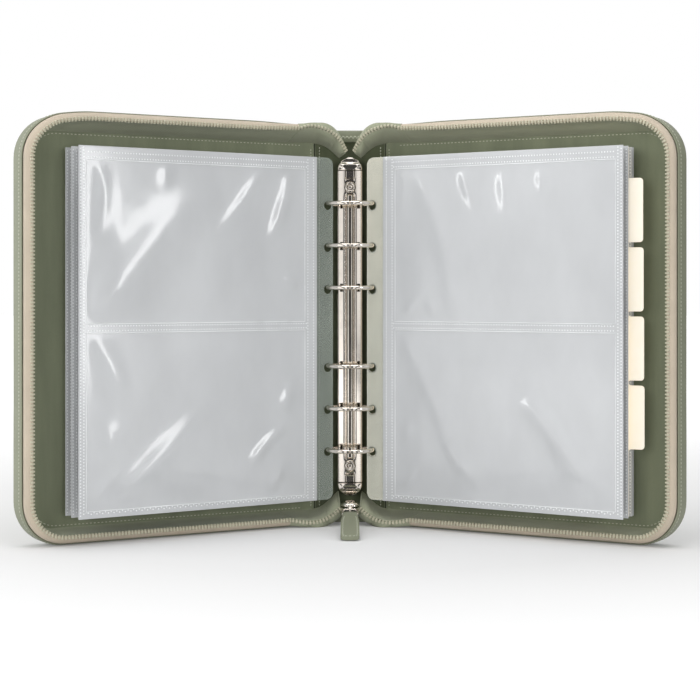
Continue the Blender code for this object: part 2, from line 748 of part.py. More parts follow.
def build_leaf(name, side, angle, place, parent, paint):
    """A pocket leaf: two welded films, and the punched margin strip beside them."""
    low, high = leaf_bounds()
    frame = sheet_frame(side, angle, place, LEAF_THICKNESS, parent)
    start = MARGIN_WIDTH - HOLE_SETBACK
    end = LEAF_LENGTH - HOLE_SETBACK
    pocket = flat_sheet(rounded_box((start, low), (end, high), LEAF_CORNER), LEAF_THICKNESS)
    pocket.transform(frame)
    add_part(name, pocket, paint["film"], parent)
    edge = MARGIN_CORNER
    outline = arc((edge - HOLE_SETBACK, high - edge), edge, 90, 180, 4)
    outline += arc((edge - HOLE_SETBACK, low + edge), edge, 180, 270, 4)
    outline += [(start - TOUCH_GAP, low), (start - TOUCH_GAP, high)]
    strip = flat_sheet(outline, MARGIN_THICKNESS, leaf_holes())
    strip.transform(frame)
    add_part(name + "_margin", strip, paint["margin"], parent)


def divider_outline(number):
    """Outline of a divider: a leaf-sized sheet with one tab on its fore edge."""
    low, high = leaf_bounds()
    near = -HOLE_SETBACK
    far = LEAF_LENGTH - HOLE_SETBACK - LEAF_CORNER
    tab_top = high - FIRST_TAB_DROP - number * TAB_STEP
    tab_low = tab_top - TAB_HEIGHT
    tip = far + TAB_REACH
    outline = arc((near + MARGIN_CORNER, high - MARGIN_CORNER), MARGIN_CORNER, 90, 180, 4)
    outline += arc((near + MARGIN_CORNER, low + MARGIN_CORNER), MARGIN_CORNER, 180, 270, 4)
    outline += [(far, low), (far, tab_low)]
    outline += arc((tip - TAB_CORNER, tab_low + TAB_CORNER), TAB_CORNER, -90, 0, 3)
    outline += arc((tip - TAB_CORNER, tab_top - TAB_CORNER), TAB_CORNER, 0, 90, 3)
    outline += [(far, tab_top), (far, high)]
    return outline


def build_divider(number, parent, paint):
    """One tab divider, punched like the leaves."""
    angle, place = DIVIDERS[number]
    sheet = flat_sheet(divider_outline(number), DIVIDER_THICKNESS, leaf_holes())
    sheet.transform(sheet_frame(1, angle, place, DIVIDER_THICKNESS, parent))
    add_part("divider_%d" % (number + 1), sheet, paint["card"], parent)


def build_sheets(root, paint):
    """Hang every leaf and divider on its own empty at the rings' sides."""
    for side, word, leaves in ((-1, "left", LEFT_LEAVES), (1, "right", RIGHT_LEAVES)):
        for number, (angle, place) in enumerate(leaves, 1):
            name = "%s_leaf_%d" % (word, number)
            axis = add_empty(name + "_axis", (side * RING_RADIUS, -RING_CENTRE, 0), 0.0, root)
            build_leaf(name, side, angle, place, axis, paint)
    for number in range(len(DIVIDERS)):
        axis = add_empty("divider_%d_axis" % (number + 1), (RING_RADIUS, -RING_CENTRE, 0), 0.0, root)
        build_divider(number, axis, paint)


def slider_mesh():
    """Zip slider: two plates on a wedge, with channels for the chains and a bail in front."""
    half = SLIDER_WIDTH / 2
    outline = arc((0.0, 0.0), half, -90, 90, 10)
    outline += [(-half * 0.7, half * 0.8), (-half * 0.7, -half * 0.8)]
    body = flat_sheet(outline, SLIDER_HEIGHT)
    squash = SLIDER_LENGTH / (half * 1.7)
    body.transform(Matrix.Diagonal((squash, 1, 1, 1)))
    body.transform(Matrix.Rotation(-math.pi / 2, 4, "Z"))
    channel = SLIDER_HEIGHT * 0.30
    for side in (-1, 1):
        cut = block((side * half, 0.0, 0.0), (half * 1.2, SLIDER_LENGTH * 2, channel))
        body = boolean(body, cut, "DIFFERENCE")
    front = -half * squash
    bail = wire_mesh(bail_points(front), BAIL_RADIUS, False, 1)
    return boolean(body, bail, "UNION")


def bail_points(front):
    """Middle line of the arched bail on the slider's nose."""
    low = -SLIDER_HEIGHT * 0.42
    reach = BAIL_RADIUS * 2 + LOOP_WIRE * 2.5
    high = low + SLIDER_HEIGHT * 0.5
    back = front + BAIL_RADIUS * 1.5
    return [(0, back, low), (0, front - reach * 0.7, low), (0, front - reach, (low + high) / 2),
            (0, front - reach * 0.7, high), (0, back, high)]


def loop_axis():
    """World place of the axis on which the wire loop swings in the bail."""
    half = SLIDER_WIDTH / 2
    squash = SLIDER_LENGTH / (half * 1.7)
    front = SLIDER_CENTRE[1] - half * squash
    y = front - (LOOP_WIRE + TOUCH_GAP / 2)
    z = SLIDER_CENTRE[2] - SLIDER_HEIGHT * 0.42 + SLIDER_HEIGHT * 0.25
    return Vector((0.0, y, z))


def tab_axis():
    """World place of the loop's front bar, on which the leather tab swings."""
    start = loop_axis()
    return start + Vector((0.0, -LOOP_LENGTH, -LOOP_DROP))


def loop_mesh():
    """Closed wire loop between the bail and the tab."""
    half = LOOP_WIDTH / 2
    reach = -LOOP_LENGTH
    corners = ((half, -LOOP_WIRE * 2), (half, reach), (-half, reach), (-half, -LOOP_WIRE * 2), (0.0, 0.0))
    points = []
    for x, y in corners:
        points.append((x, y, -LOOP_DROP * abs(y) / LOOP_LENGTH))
    return wire_mesh(points, LOOP_WIRE, True, 1)


def tab_mesh(slope):
    """Leather pull tab: a folded strip round the loop's bar, wider at its end."""
    bore = LOOP_WIRE + TOUCH_GAP
    neck = TAB_PULL_NECK / 2
    end = TAB_PULL_WIDTH / 2
    length = TAB_PULL_LENGTH
    thick = TAB_PULL_THICKNESS / 2
    corner = TAB_PULL_CORNER
    outline = [(neck, bore), (neck, 0.0), (end, -length * 0.35)]
    outline += arc((end - corner, -length + corner), corner, 0, -90, 4)
    outline += arc((-end + corner, -length + corner), corner, -90, -180, 4)
    outline += [(-end, -length * 0.35), (-neck, 0.0), (-neck, bore)]
    body = flat_sheet(outline, thick * 2)
    knuckle = drum((0, 0, 0), bore + thick * 0.8, neck * 2, "X", 10)
    body = boolean(body, knuckle, "UNION")
    body = boolean(body, drum((0, 0, 0), bore, neck * 4, "X", 8), "DIFFERENCE")
    body.transform(Matrix.Rotation(slope, 4, "X"))
    return body


def build_slider(root, paint):
    """The slider parked at the spine's foot, with its loop and its leather tab."""
    slider = slider_mesh()
    slider.transform(Matrix.Translation(SLIDER_CENTRE))
    add_part("zip_slider", slider, paint["metal"], root, 40)
    swing = add_empty("pull_loop_axis", loop_axis(), 0.0, root)
    add_part("pull_loop", loop_mesh(), paint["metal"], swing, 50)
    tab_swing = add_empty("pull_tab_axis", tab_axis(), 0.0, root)
    drop = tab_axis().z - TAB_PULL_THICKNESS / 2 - TOUCH_GAP
    slope = math.asin(drop / TAB_PULL_LENGTH)
    add_part("pull_tab", tab_mesh(slope), paint["leather"], tab_swing)


def make_paint():
    """The colours and finishes of the object."""
    return {
        "leather": make_material("sage_leather", SAGE, 0.55),
        "board": make_material("greyboard", GREYBOARD, 0.9),
        "lining": make_material("sage_lining", SAGE_LINING, 0.85),
        "tape": make_material("cream_tape", CREAM, 0.85),
        "metal": make_material("nickel", NICKEL, 0.22, 1.0),
        "film": make_material("clear_film", CLEAR_FILM, 0.2),
        "margin": make_material("margin_film", MARGIN_FILM, 0.2),
        "card": make_material("ivory_card", IVORY, 0.6),
    }


def main():
    """Build the whole organizer."""
    paint = make_paint()
    root = add_empty("spine_foot", (0, 0, 0))
    build_spine(root, paint)
    build_creases(root, paint)
    for side, word in ((-1, "left"), (1, "right")):
        turn = -COVER_ANGLE if side > 0 else math.pi + COVER_ANGLE
        crease = add_empty(word + "_crease_axis", (side * SPINE_WIDTH / 2, 0, 0), turn, root)
        build_cover(side, word, crease, paint)
    build_gussets(root, paint)
    build_plate(root, paint)
    for side, word in ((-1, "left"), (1, "right")):
        x, y = blade_pivot(side)
        pivot = add_empty(word + "_blade_axis", (x, y, 0), 0.0, root)
        build_ring_half(side, word, pivot, paint)
    lever_level = -(INNER_FACE + LEVER_LIFT)
    top_end = MID_HEIGHT + PLATE_LENGTH / 2 + TOUCH_GAP
    bottom_end = MID_HEIGHT - PLATE_LENGTH / 2 - TOUCH_GAP
    top_axis = add_empty("top_lever_axis", (0, lever_level, top_end), 0.0, root)
    bottom_axis = add_empty("bottom_lever_axis", (0, lever_level, bottom_end), 0.0, root)
    build_levers(top_axis, bottom_axis, paint)
    build_rivets(root, paint)
    build_sheets(root, paint)
    build_slider(root, paint)


clear_scene()
PARTS = bpy.data.collections.new("seed_packet_organizer")
CUTTERS = bpy.data.collections.new("cutters")
bpy.context.scene.collection.children.link(PARTS)
bpy.context.scene.collection.children.link(CUTTERS)
main()
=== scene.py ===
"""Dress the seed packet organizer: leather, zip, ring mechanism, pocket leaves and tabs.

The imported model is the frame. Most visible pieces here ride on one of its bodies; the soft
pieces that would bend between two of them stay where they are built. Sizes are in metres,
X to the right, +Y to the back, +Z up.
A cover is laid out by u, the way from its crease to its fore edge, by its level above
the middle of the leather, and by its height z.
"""

from __future__ import annotations

import logging
import math
from dataclasses import dataclass
from enum import Enum
from functools import cached_property
from typing import Callable, Iterator, Sequence

import bmesh
import bpy
from bpy.types import Material, Mesh, Node, NodeSocket, NodeTree, Object
from mathutils import Matrix, Vector, noise

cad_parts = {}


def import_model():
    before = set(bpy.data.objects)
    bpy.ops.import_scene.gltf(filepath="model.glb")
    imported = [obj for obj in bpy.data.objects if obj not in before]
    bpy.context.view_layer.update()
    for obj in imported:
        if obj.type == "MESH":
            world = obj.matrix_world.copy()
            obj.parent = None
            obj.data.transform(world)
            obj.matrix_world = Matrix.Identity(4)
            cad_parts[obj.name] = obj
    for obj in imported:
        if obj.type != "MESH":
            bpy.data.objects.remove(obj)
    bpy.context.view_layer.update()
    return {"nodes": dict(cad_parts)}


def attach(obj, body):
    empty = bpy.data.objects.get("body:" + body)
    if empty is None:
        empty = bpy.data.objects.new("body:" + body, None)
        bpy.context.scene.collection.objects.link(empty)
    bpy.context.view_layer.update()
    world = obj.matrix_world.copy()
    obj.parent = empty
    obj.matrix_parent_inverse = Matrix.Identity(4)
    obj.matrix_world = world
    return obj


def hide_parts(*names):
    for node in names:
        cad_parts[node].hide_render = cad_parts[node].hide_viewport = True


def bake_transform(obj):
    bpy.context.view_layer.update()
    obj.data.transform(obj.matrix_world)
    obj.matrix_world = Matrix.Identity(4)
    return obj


LOG = logging.getLogger("organizer")
MERGE_DISTANCE = 1e-6
FORWARD = Vector((0, -1, 0))

Row = list[Vector]
Flat = tuple[float, float]
Place = tuple[float, float, float]
Colour = tuple[float, float, float]


class Named(Enum):
    """An option with a word of its own in node names."""

    @property
    def word(self) -> str:
        """The option's name in node names."""
        return self.name.lower()


class Side(Named):
    """The two halves of the organizer, as seen from the front."""

    LEFT = -1
    RIGHT = 1


class End(Named):
    """The two ends of the spine."""

    TOP = 1
    BOTTOM = -1


@dataclass(frozen=True)
class Layout:
    """Sizes that the pieces share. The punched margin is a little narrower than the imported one."""

    height: float = 0.244
    reach: float = 0.2015
    half_spine: float = 0.020
    angle: float = math.radians(31.8)
    corner: float = 0.025
    leather: float = 0.0010
    rim_height: float = 0.0135
    rim_thickness: float = 0.0012
    lining_level: float = 0.0029
    lining_back: float = 0.0023
    crease_gap: float = 0.0035
    ring_radius: float = 0.0138
    ring_level: float = 0.0184
    ring_offsets: tuple[float, ...] = (0.0240, 0.0498, 0.0756)
    leaf_low: float = 0.0159
    leaf_high: float = 0.2259
    hole_radius: float = 0.0027
    hole_drop: float = 0.0011
    hole_setback: float = 0.0037
    strip_corner: float = 0.0045

    @property
    def middle(self) -> float:
        """Height of the middle of the spine."""
        return self.height / 2

    def place(self, side: Side, u: float, level: float, z: float) -> Vector:
        """World place of a point of a cover.

        Args:
            side: the cover.
            u: way from the crease.
            level: way from the middle of the leather towards the inside.
            z: height.

        Returns:
            The point in the row frame at rest.
        """
        across = self.half_spine + u * math.cos(self.angle) - level * math.sin(self.angle)
        depth = u * math.sin(self.angle) + level * math.cos(self.angle)
        return Vector((side.value * across, -depth, z))

    def ring_heights(self) -> list[float]:
        """Heights of the six rings, from the bottom up."""
        offsets = [-o for o in self.ring_offsets] + list(self.ring_offsets)
        return sorted(self.middle + offset for offset in offsets)

    def hole_rings(self, radius: float, steps: int) -> list[list[Flat]]:
        """A ring of steps + 1 points about each punched hole, as (s, z)."""
        last = 360 - 360 / (steps + 1)
        return [arc((0.0, z - self.hole_drop), radius, 0, last, steps)
                for z in self.ring_heights()]

    def hole_edge(self, steps: int) -> list[Flat]:
        """The rounded edge of a sheet beside the rings, from its top to its foot."""
        s, radius = self.strip_corner - self.hole_setback, self.strip_corner
        return (arc((s, self.leaf_high - radius), radius, 90, 180, steps)
                + arc((s, self.leaf_low + radius), radius, 180, 270, steps))


LAYOUT = Layout()


# Mesh helpers


def arc(centre: Flat, radius: float, start: float, end: float, steps: int) -> list[Flat]:
    """Points on an arc, angles in degrees.

    Args:
        centre: middle of the arc.
        radius: its radius.
        start: first angle.
        end: last angle.
        steps: number of chords.

    Returns:
        steps + 1 points.
    """
    points = []
    for step in range(steps + 1):
        angle = math.radians(start + (end - start) * step / steps)
        points.append((centre[0] + radius * math.cos(angle), centre[1] + radius * math.sin(angle)))
    return points


def smoothstep(value: float) -> float:
    """Ease from 0 to 1 with level ends."""
    value = min(1.0, max(0.0, value))
    return value * value * (3.0 - 2.0 * value)


def catmull(points: Sequence[Vector], where: float) -> Vector:
    """A point on a smooth curve through control points.

    Args:
        points: the control points.
        where: 0 at the first point, 1 at the last.

    Returns:
        The point.
    """
    spans = len(points) - 1
    scaled = min(max(where, 0.0), 1.0) * spans
    index = min(int(scaled), spans - 1)
    t = scaled - index
    p1, p2 = points[index], points[index + 1]
    p0 = points[index - 1] if index else p1 * 2 - p2
    p3 = points[index + 2] if index + 2 <= spans else p2 * 2 - p1
    return 0.5 * (2 * p1 + (p2 - p0) * t + (2 * p0 - 5 * p1 + 4 * p2 - p3) * t ** 2
                  + (3 * p1 - p0 - 3 * p2 + p3) * t ** 3)


def spread(start: float, end: float, spacing: float) -> list[float]:
    """Even steps from start to end."""
    count = max(1, round(abs(end - start) / spacing))
    return [start + (end - start) * k / count for k in range(count + 1)]


def spaced(path: Sequence[Vector], pitch: float) -> Iterator[tuple[int, float, float]]:
    """Places at an even pitch along a path.

    Args:
        path: points on it.
        pitch: way from place to place.

    Yields:
        The number of the span, the way along it and the share of it.
    """
    lengths = [(b - a).length for a, b in zip(path, path[1:])]
    total = sum(lengths)
    count = max(1, int(total / pitch))
    for number in range(count):
        left = total * (number + 0.5) / count
        index = 0
        while index < len(lengths) - 1 and left > lengths[index]:
            left -= lengths[index]
            index += 1
        yield index, left, min(1.0, left / lengths[index])


def bridge(work: bmesh.types.BMesh, rings: Sequence[Sequence[bmesh.types.BMVert]]) -> None:
    """Faces between each ring of vertices and the next."""
    count = len(rings[0])
    for first, second in zip(rings, rings[1:]):
        for k in range(count):
            n = (k + 1) % count
            work.faces.new((first[k], first[n], second[n], second[k]))


def finished(work: bmesh.types.BMesh, name: str, outwards: bool = True) -> Mesh:
    """The mesh of a BMesh, which is freed.

    Args:
        work: the BMesh.
        name: name of the mesh.
        outwards: turn the faces outwards first.

    Returns:
        The mesh.
    """
    if outwards:
        bmesh.ops.recalc_face_normals(work, faces=work.faces)
    mesh = bpy.data.meshes.new(name)
    work.to_mesh(mesh)
    work.free()
    return mesh


def turned_out(mesh: Mesh, merge: float = 0.0) -> Mesh:
    """The same mesh with its faces turned outwards, close vertices merged if asked."""
    work = bmesh.new()
    work.from_mesh(mesh)
    if merge:
        bmesh.ops.remove_doubles(work, verts=work.verts, dist=merge)
    bmesh.ops.recalc_face_normals(work, faces=work.faces)
    work.to_mesh(mesh)
    work.free()
    return mesh


def lay(mesh: Mesh, place: Callable[[float, float, float], Vector]) -> None:
    """Move each vertex of a flat mesh to the place that its coordinates stand for."""
    for vertex in mesh.vertices:
        vertex.co = place(*vertex.co)


def rows_mesh(name: str, rows: Sequence[Row], around: bool = False, caps: bool = False,
              loop: bool = False) -> Mesh:
    """Quads between rows of points, with a UV map in metres along and across.

    Args:
        name: name of the mesh.
        rows: rows of equal length.
        around: join each row's last point to its first.
        caps: close the first and last row with a face.
        loop: join the last row to the first.

    Returns:
        The mesh.
    """
    work = bmesh.new()
    uv = work.loops.layers.uv.new("UVMap")
    grid = [[work.verts.new(point) for point in row] for row in rows]
    along = [0.0]
    for first, second in zip(rows, rows[1:]):
        along.append(along[-1] + (second[0] - first[0]).length)
    across = [0.0]
    for first, second in zip(rows[0], rows[0][1:]):
        across.append(across[-1] + (second - first).length)
    across.append(across[-1] + (rows[0][0] - rows[0][-1]).length)
    along.append(along[-1] + (rows[0][0] - rows[-1][0]).length)
    width = len(rows[0])
    for i in range(len(rows) if loop else len(rows) - 1):
        for j in range(width if around else width - 1):
            after, beside = (i + 1) % len(rows), (j + 1) % width
            face = work.faces.new((grid[i][j], grid[i][beside], grid[after][beside],
                                   grid[after][j]))
            corners = ((i, j), (i, j + 1), (i + 1, j + 1), (i + 1, j))
            for corner, (a, b) in zip(face.loops, corners):
                corner[uv].uv = (along[a], across[b])
    if caps:
        work.faces.new(grid[0])
        work.faces.new(list(reversed(grid[-1])))
    return finished(work, name)


def sheet_mesh(name: str, rows: Sequence[Row], thickness: float) -> Mesh:
    """A closed sheet of even thickness over rows of points.

    Args:
        name: name of the mesh.
        rows: rows of points on one face.
        thickness: thickness, on the side that Solidify takes.

    Returns:
        The closed mesh.
    """
    mesh = rows_mesh(name, rows)
    return with_modifiers(mesh, lambda holder: add_solidify(holder, thickness))


def add_solidify(holder: Object, thickness: float, offset: float = 0.0) -> None:
    """Give a holder a Solidify modifier."""
    solid = holder.modifiers.new("thickness", "SOLIDIFY")
    solid.thickness = thickness
    solid.offset = offset
    solid.use_even_offset = False


def add_bevel(holder: Object, width: float, segments: int, angle: float = 30) -> None:
    """Give a holder a Bevel modifier on its sharp edges."""
    bevel = holder.modifiers.new("round", "BEVEL")
    bevel.width = width
    bevel.segments = segments
    bevel.limit_method = "ANGLE"
    bevel.angle_limit = math.radians(angle)
    bevel.harden_normals = False


def with_modifiers(data: bpy.types.ID, *steps: Callable[[Object], None]) -> Mesh:
    """The mesh that a mesh or a curve gives after modifiers, applied.

    Args:
        data: the mesh or curve.
        steps: functions that each add one modifier to a holder.

    Returns:
        The evaluated mesh.
    """
    holder = bpy.data.objects.new("holder", data)
    bpy.context.scene.collection.objects.link(holder)
    for step in steps:
        step(holder)
    bpy.context.view_layer.update()
    graph = bpy.context.evaluated_depsgraph_get()
    result = bpy.data.meshes.new_from_object(holder.evaluated_get(graph))
    bpy.data.objects.remove(holder, do_unlink=True)
    return result


def join(meshes: Sequence[Mesh], name: str) -> Mesh:
    """One mesh of several.

    Args:
        meshes: the meshes.
        name: name of the result.

    Returns:
        The joined mesh.
    """
    work = bmesh.new()
    for mesh in meshes:
        work.from_mesh(mesh)
    return finished(work, name, False)


def tube(name: str, path: Sequence[Vector], radius: float, sides: int = 12,
         closed: bool = False, radii: Sequence[float] | None = None) -> Mesh:
    """A round tube along a path.

    Args:
        name: name of the mesh.
        path: points on its middle line.
        radius: its radius.
        sides: points round it.
        closed: join the ends.
        radii: a radius for each point, in place of the even one.

    Returns:
        The closed tube.
    """
    rows = []
    normal = None
    count = len(path)
    for index, point in enumerate(path):
        before = path[index - 1] if index or closed else point
        after = path[(index + 1) % count] if index + 1 < count or closed else point
        tangent = (after - before).normalized()
        if normal is None:
            normal = tangent.orthogonal().normalized()
        normal = (normal - tangent * normal.dot(tangent)).normalized()
        other = tangent.cross(normal)
        size = radii[index] if radii else radius
        rows.append([point + (normal * math.cos(a) + other * math.sin(a)) * size
                     for a in (2 * math.pi * k / sides for k in range(sides))])
    return rows_mesh(name, rows, around=True, caps=not closed, loop=closed)


@dataclass(frozen=True)
class Seam:
    """A row of raised stitches."""

    pitch: float
    length: float
    radius: float
    sides: int = 6
    shape: tuple[Flat, ...] = ((-0.5, 0.45), (-0.3, 0.9), (0.0, 1.0), (0.3, 0.9), (0.5, 0.45))

    def sew(self, name: str, path: Sequence[Vector],
            normal: Callable[[int], Vector]) -> Mesh:
        """Stitches at an even pitch along a path.

        Args:
            name: name of the mesh.
            path: points on the seam.
            normal: the surface's outward direction near a path point.

        Returns:
            All the stitches in one mesh.
        """
        work = bmesh.new()
        turns = [2 * math.pi * k / self.sides for k in range(self.sides)]
        for index, left, _ in spaced(path, self.pitch):
            a, b = path[index], path[index + 1]
            along = (b - a).normalized()
            up = normal(index)
            up = (up - along * up.dot(along)).normalized()
            aside = along.cross(up)
            rings = []
            for share, size in self.shape:
                dip = -self.radius * 0.9 * (2 * abs(share)) ** 3
                middle = a + along * left + along * (share * self.length) + up * dip
                rings.append([work.verts.new(middle + (aside * math.cos(t) + up * math.sin(t))
                                             * self.radius * size) for t in turns])
            bridge(work, rings)
            work.faces.new(list(reversed(rings[0])))
            work.faces.new(rings[-1])
        return finished(work, name)


RIM_SEAM = Seam(0.0021, 0.0015, 0.00026)
CREASE_SEAM = Seam(0.0018, 0.0011, 0.00034)
EDGE_SEAM = Seam(0.0024, 0.0016, 0.00028)
HEM_SEAM = Seam(0.004, 0.0022, 0.00034)
TAB_SEAM = Seam(0.0023, 0.0016, 0.00026)


def outline_sheet(name: str, outline: Sequence[Flat], thickness: float,
                  holes: Sequence[Sequence[Flat]] = ()) -> Mesh:
    """A flat sheet in the XY plane from an outline and its holes.

    Args:
        name: name of the mesh.
        outline: the outer outline.
        thickness: thickness, half to each side of the plane.
        holes: outlines of the holes.

    Returns:
        The closed mesh.
    """
    curve = bpy.data.curves.new(name, "CURVE")
    curve.dimensions = "2D"
    curve.fill_mode = "BOTH"
    curve.extrude = thickness / 2
    for points in [outline, *holes]:
        spline = curve.splines.new("POLY")
        spline.points.add(len(points) - 1)
        for slot, (x, y) in zip(spline.points, points):
            slot.co = (x, y, 0.0, 1.0)
        spline.use_cyclic_u = True
    mesh = with_modifiers(curve)
    bpy.data.curves.remove(curve)
    return turned_out(mesh, MERGE_DISTANCE)


def cross_cut(mesh: Mesh, places: Sequence[float]) -> None:
    """Add edges across a flat mesh at places along x, so that it can bend there.

    Args:
        mesh: the mesh to change.
        places: x of each cut.
    """
    work = bmesh.new()
    work.from_mesh(mesh)
    for x in places:
        parts = [*work.verts, *work.edges, *work.faces]
        bmesh.ops.bisect_plane(work, geom=parts, plane_co=(x, 0, 0), plane_no=(1, 0, 0))
    work.to_mesh(mesh)
    work.free()


def mount(piece: Object, body: str) -> None:
    """Let a piece ride on one body."""
    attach(piece, body)
    LOG.info("%s rides on %s", piece.name, body)


def show(name: str, mesh: Mesh, finish: Material, body: str, slot: str,
         replaces: Sequence[str] = (), sharp: float = 35.0) -> None:
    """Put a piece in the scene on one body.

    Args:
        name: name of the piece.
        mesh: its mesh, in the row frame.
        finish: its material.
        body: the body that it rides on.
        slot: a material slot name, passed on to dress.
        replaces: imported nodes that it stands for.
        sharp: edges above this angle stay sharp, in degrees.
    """
    mount(dress(name, mesh, finish, slot, replaces, sharp), body)


def dress(name: str, mesh: Mesh, finish: Material, slot: str,
          replaces: Sequence[str] = (), sharp: float = 35.0) -> Object:
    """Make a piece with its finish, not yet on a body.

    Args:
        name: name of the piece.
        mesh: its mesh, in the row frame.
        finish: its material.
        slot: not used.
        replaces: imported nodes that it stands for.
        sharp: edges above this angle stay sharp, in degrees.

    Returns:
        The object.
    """
    mesh.materials.clear()
    mesh.materials.append(finish)
    mesh.shade_smooth()
    mesh.set_sharp_from_angle(angle=math.radians(sharp))
    piece = bpy.data.objects.new(name, mesh)
    bpy.context.scene.collection.objects.link(piece)
    if replaces:
        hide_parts(*replaces)
    return piece


def bend(piece: Object, moving: str, start: Vector, end: Vector) -> None:
    """Bake a soft piece's place into its mesh and log the body that turns; it is not bent or put on
    a body.

    Args:
        piece: the piece, not yet on a body.
        moving: the body that turns.
        start: not used.
        end: not used.
    """
    tuple(start)
    tuple(end)
    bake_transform(piece)
    LOG.info("%s bends from spine to %s", piece.name, moving)


# Shader groups and finishes


def linear(red: int, green: int, blue: int) -> Colour:
    """A linear colour from 8-bit display values."""
    return tuple((c / 255 / 12.92) if c / 255 <= 0.04045 else ((c / 255 + 0.055) / 1.055) ** 2.4
                 for c in (red, green, blue))


def scaled(colour: Colour, share: float) -> tuple[float, float, float, float]:
    """A colour made lighter or darker, with full alpha."""
    return (*(min(1.0, c * share) for c in colour), 1.0)


class NodeBench:
    """A node tree with short calls to add and join nodes."""

    def __init__(self, tree: NodeTree) -> None:
        """Work on one tree, cleared first."""
        self.tree = tree
        tree.nodes.clear()

    def add(self, kind: str, inputs: dict | None = None, **settings: object) -> Node:
        """Add a node.

        Args:
            kind: the node's type without its ShaderNode prefix.
            inputs: values or sockets for its inputs, by name or number.
            settings: the node's own properties.

        Returns:
            The node.
        """
        prefix = "" if kind.startswith("Node") else "ShaderNode"
        node = self.tree.nodes.new(prefix + kind)
        for key, value in settings.items():
            setattr(node, key, value)
        return self.fill(node, inputs or {})

    def fill(self, node: Node, inputs: dict) -> Node:
        """Join sockets to a node's inputs, or set their values."""
        for key, value in inputs.items():
            if isinstance(value, NodeSocket):
                self.tree.links.new(value, node.inputs[key])
            else:
                node.inputs[key].default_value = value
        return node

    def math(self, operation: str, first: object, second: object = 0.0) -> NodeSocket:
        """A Math node's result."""
        return self.add("Math", {0: first, 1: second}, operation=operation).outputs[0]

    def times(self, first: object, second: object) -> NodeSocket:
        """The product of two values."""
        return self.math("MULTIPLY", first, second)

    def rest(self, share: object) -> NodeSocket:
        """What is left of 1."""
        return self.math("SUBTRACT", 1.0, share)

    def mix(self, share: object, first: object, second: object) -> NodeSocket:
        """A mix of two colours."""
        return self.add("Mix", {0: share, 6: first, 7: second}, data_type="RGBA").outputs[2]

    def place(self, group: NodeTree, **inputs: object) -> Node:
        """Place a node group with values for its inputs."""
        node = self.tree.nodes.new("ShaderNodeGroup")
        node.node_tree = group
        return self.fill(node, inputs)

    def range(self, value: object, start: float, end: float, low: float = 0.0,
              high: float = 1.0) -> NodeSocket:
        """A value that goes from low at start to high at end, and stays there."""
        return self.add("MapRange", {"Value": value, "From Min": start, "From Max": end,
                                     "To Min": low, "To Max": high}).outputs[0]

    def bump(self, height: object, distance: float, strength: float) -> NodeSocket:
        """A normal bent by a height."""
        return self.add("Bump", {"Height": height, "Distance": distance,
                                 "Strength": strength}).outputs["Normal"]

    def raised(self, base: object, mask: object, share: float) -> NodeSocket:
        """A value with a share of a mask added."""
        return self.math("ADD", base, self.times(mask, share))

    def surface(self, **inputs: object) -> None:
        """Join a Principled shader to the output, _ standing for a space in its inputs."""
        named = {key.replace("_", " "): value for key, value in inputs.items()}
        shader = self.add("BsdfPrincipled", named)
        self.tree.links.new(shader.outputs[0], self.add("OutputMaterial").inputs[0])


def new_group(name: str, inputs: dict[str, str], outputs: dict[str, str]) -> tuple:
    """An empty shader group with its sockets.

    Args:
        name: the group's name.
        inputs: socket type by input name.
        outputs: socket type by output name.

    Returns:
        The group, its bench, its input sockets and its output node.
    """
    group = bpy.data.node_groups.new(name, "ShaderNodeTree")
    for words, direction in ((inputs, "INPUT"), (outputs, "OUTPUT")):
        for label, kind in words.items():
            group.interface.new_socket(label, in_out=direction, socket_type="NodeSocket" + kind)
    bench = NodeBench(group)
    return group, bench, bench.add("NodeGroupInput").outputs, bench.add("NodeGroupOutput")


def make_grain_group() -> NodeTree:
    """Pebbled grain: cells with soft furrows between them."""
    group, bench, given, result = new_group(
        "Pebble grain", {"Vector": "Vector", "Scale": "Float", "Softness": "Float"},
        {"Height": "Float", "Furrows": "Float"})
    cells = bench.add("TexVoronoi", {"Vector": given["Vector"],
                                     "Scale": given["Scale"]}, feature="SMOOTH_F1")
    fine = bench.add("TexNoise", {"Vector": given["Vector"], "Detail": 3.0,
                                  "Scale": bench.times(given["Scale"], 0.37)})
    deep = bench.rest(cells.outputs["Distance"])
    lift = bench.times(fine.outputs["Fac"], given["Softness"])
    bench.fill(result, {"Height": bench.math("ADD", deep, lift),
                        "Furrows": cells.outputs["Distance"]})
    return group


def make_weave_group() -> NodeTree:
    """Woven threads over and under each other, laid out by a UV map in metres."""
    group, bench, given, result = new_group(
        "Woven threads", {"Vector": "Vector", "Along": "Float", "Across": "Float"},
        {"Height": "Float", "Gaps": "Float"})
    parts = bench.add("SeparateXYZ", {0: given["Vector"]})
    warp = bench.math("SINE", bench.times(parts.outputs[0], given["Along"]))
    weft = bench.math("SINE", bench.times(parts.outputs[1], given["Across"]))
    over = bench.times(warp, weft)
    rib = bench.times(bench.math("ABSOLUTE", weft), 0.6)
    height = bench.math("ADD", bench.times(over, 0.5), rib)
    gaps = bench.rest(bench.math("ABSOLUTE", weft))
    bench.fill(result, {"Height": height, "Gaps": gaps})
    return group


def make_tone_group() -> NodeTree:
    """Slow drift between two tones, with finer mottling over it."""
    group, bench, given, result = new_group(
        "Tone drift", {"Vector": "Vector", "Scale": "Float", "Low": "Color", "High": "Color"},
        {"Color": "Color", "Mask": "Float"})
    slow = bench.add("TexNoise", {"Vector": given["Vector"], "Detail": 4.0,
                                  "Scale": given["Scale"], "Roughness": 0.6})
    mask = bench.range(slow.outputs["Fac"], 0.32, 0.68)
    tone = bench.mix(mask, given["Low"], given["High"])
    bench.fill(result, {"Color": tone, "Mask": mask})
    return group


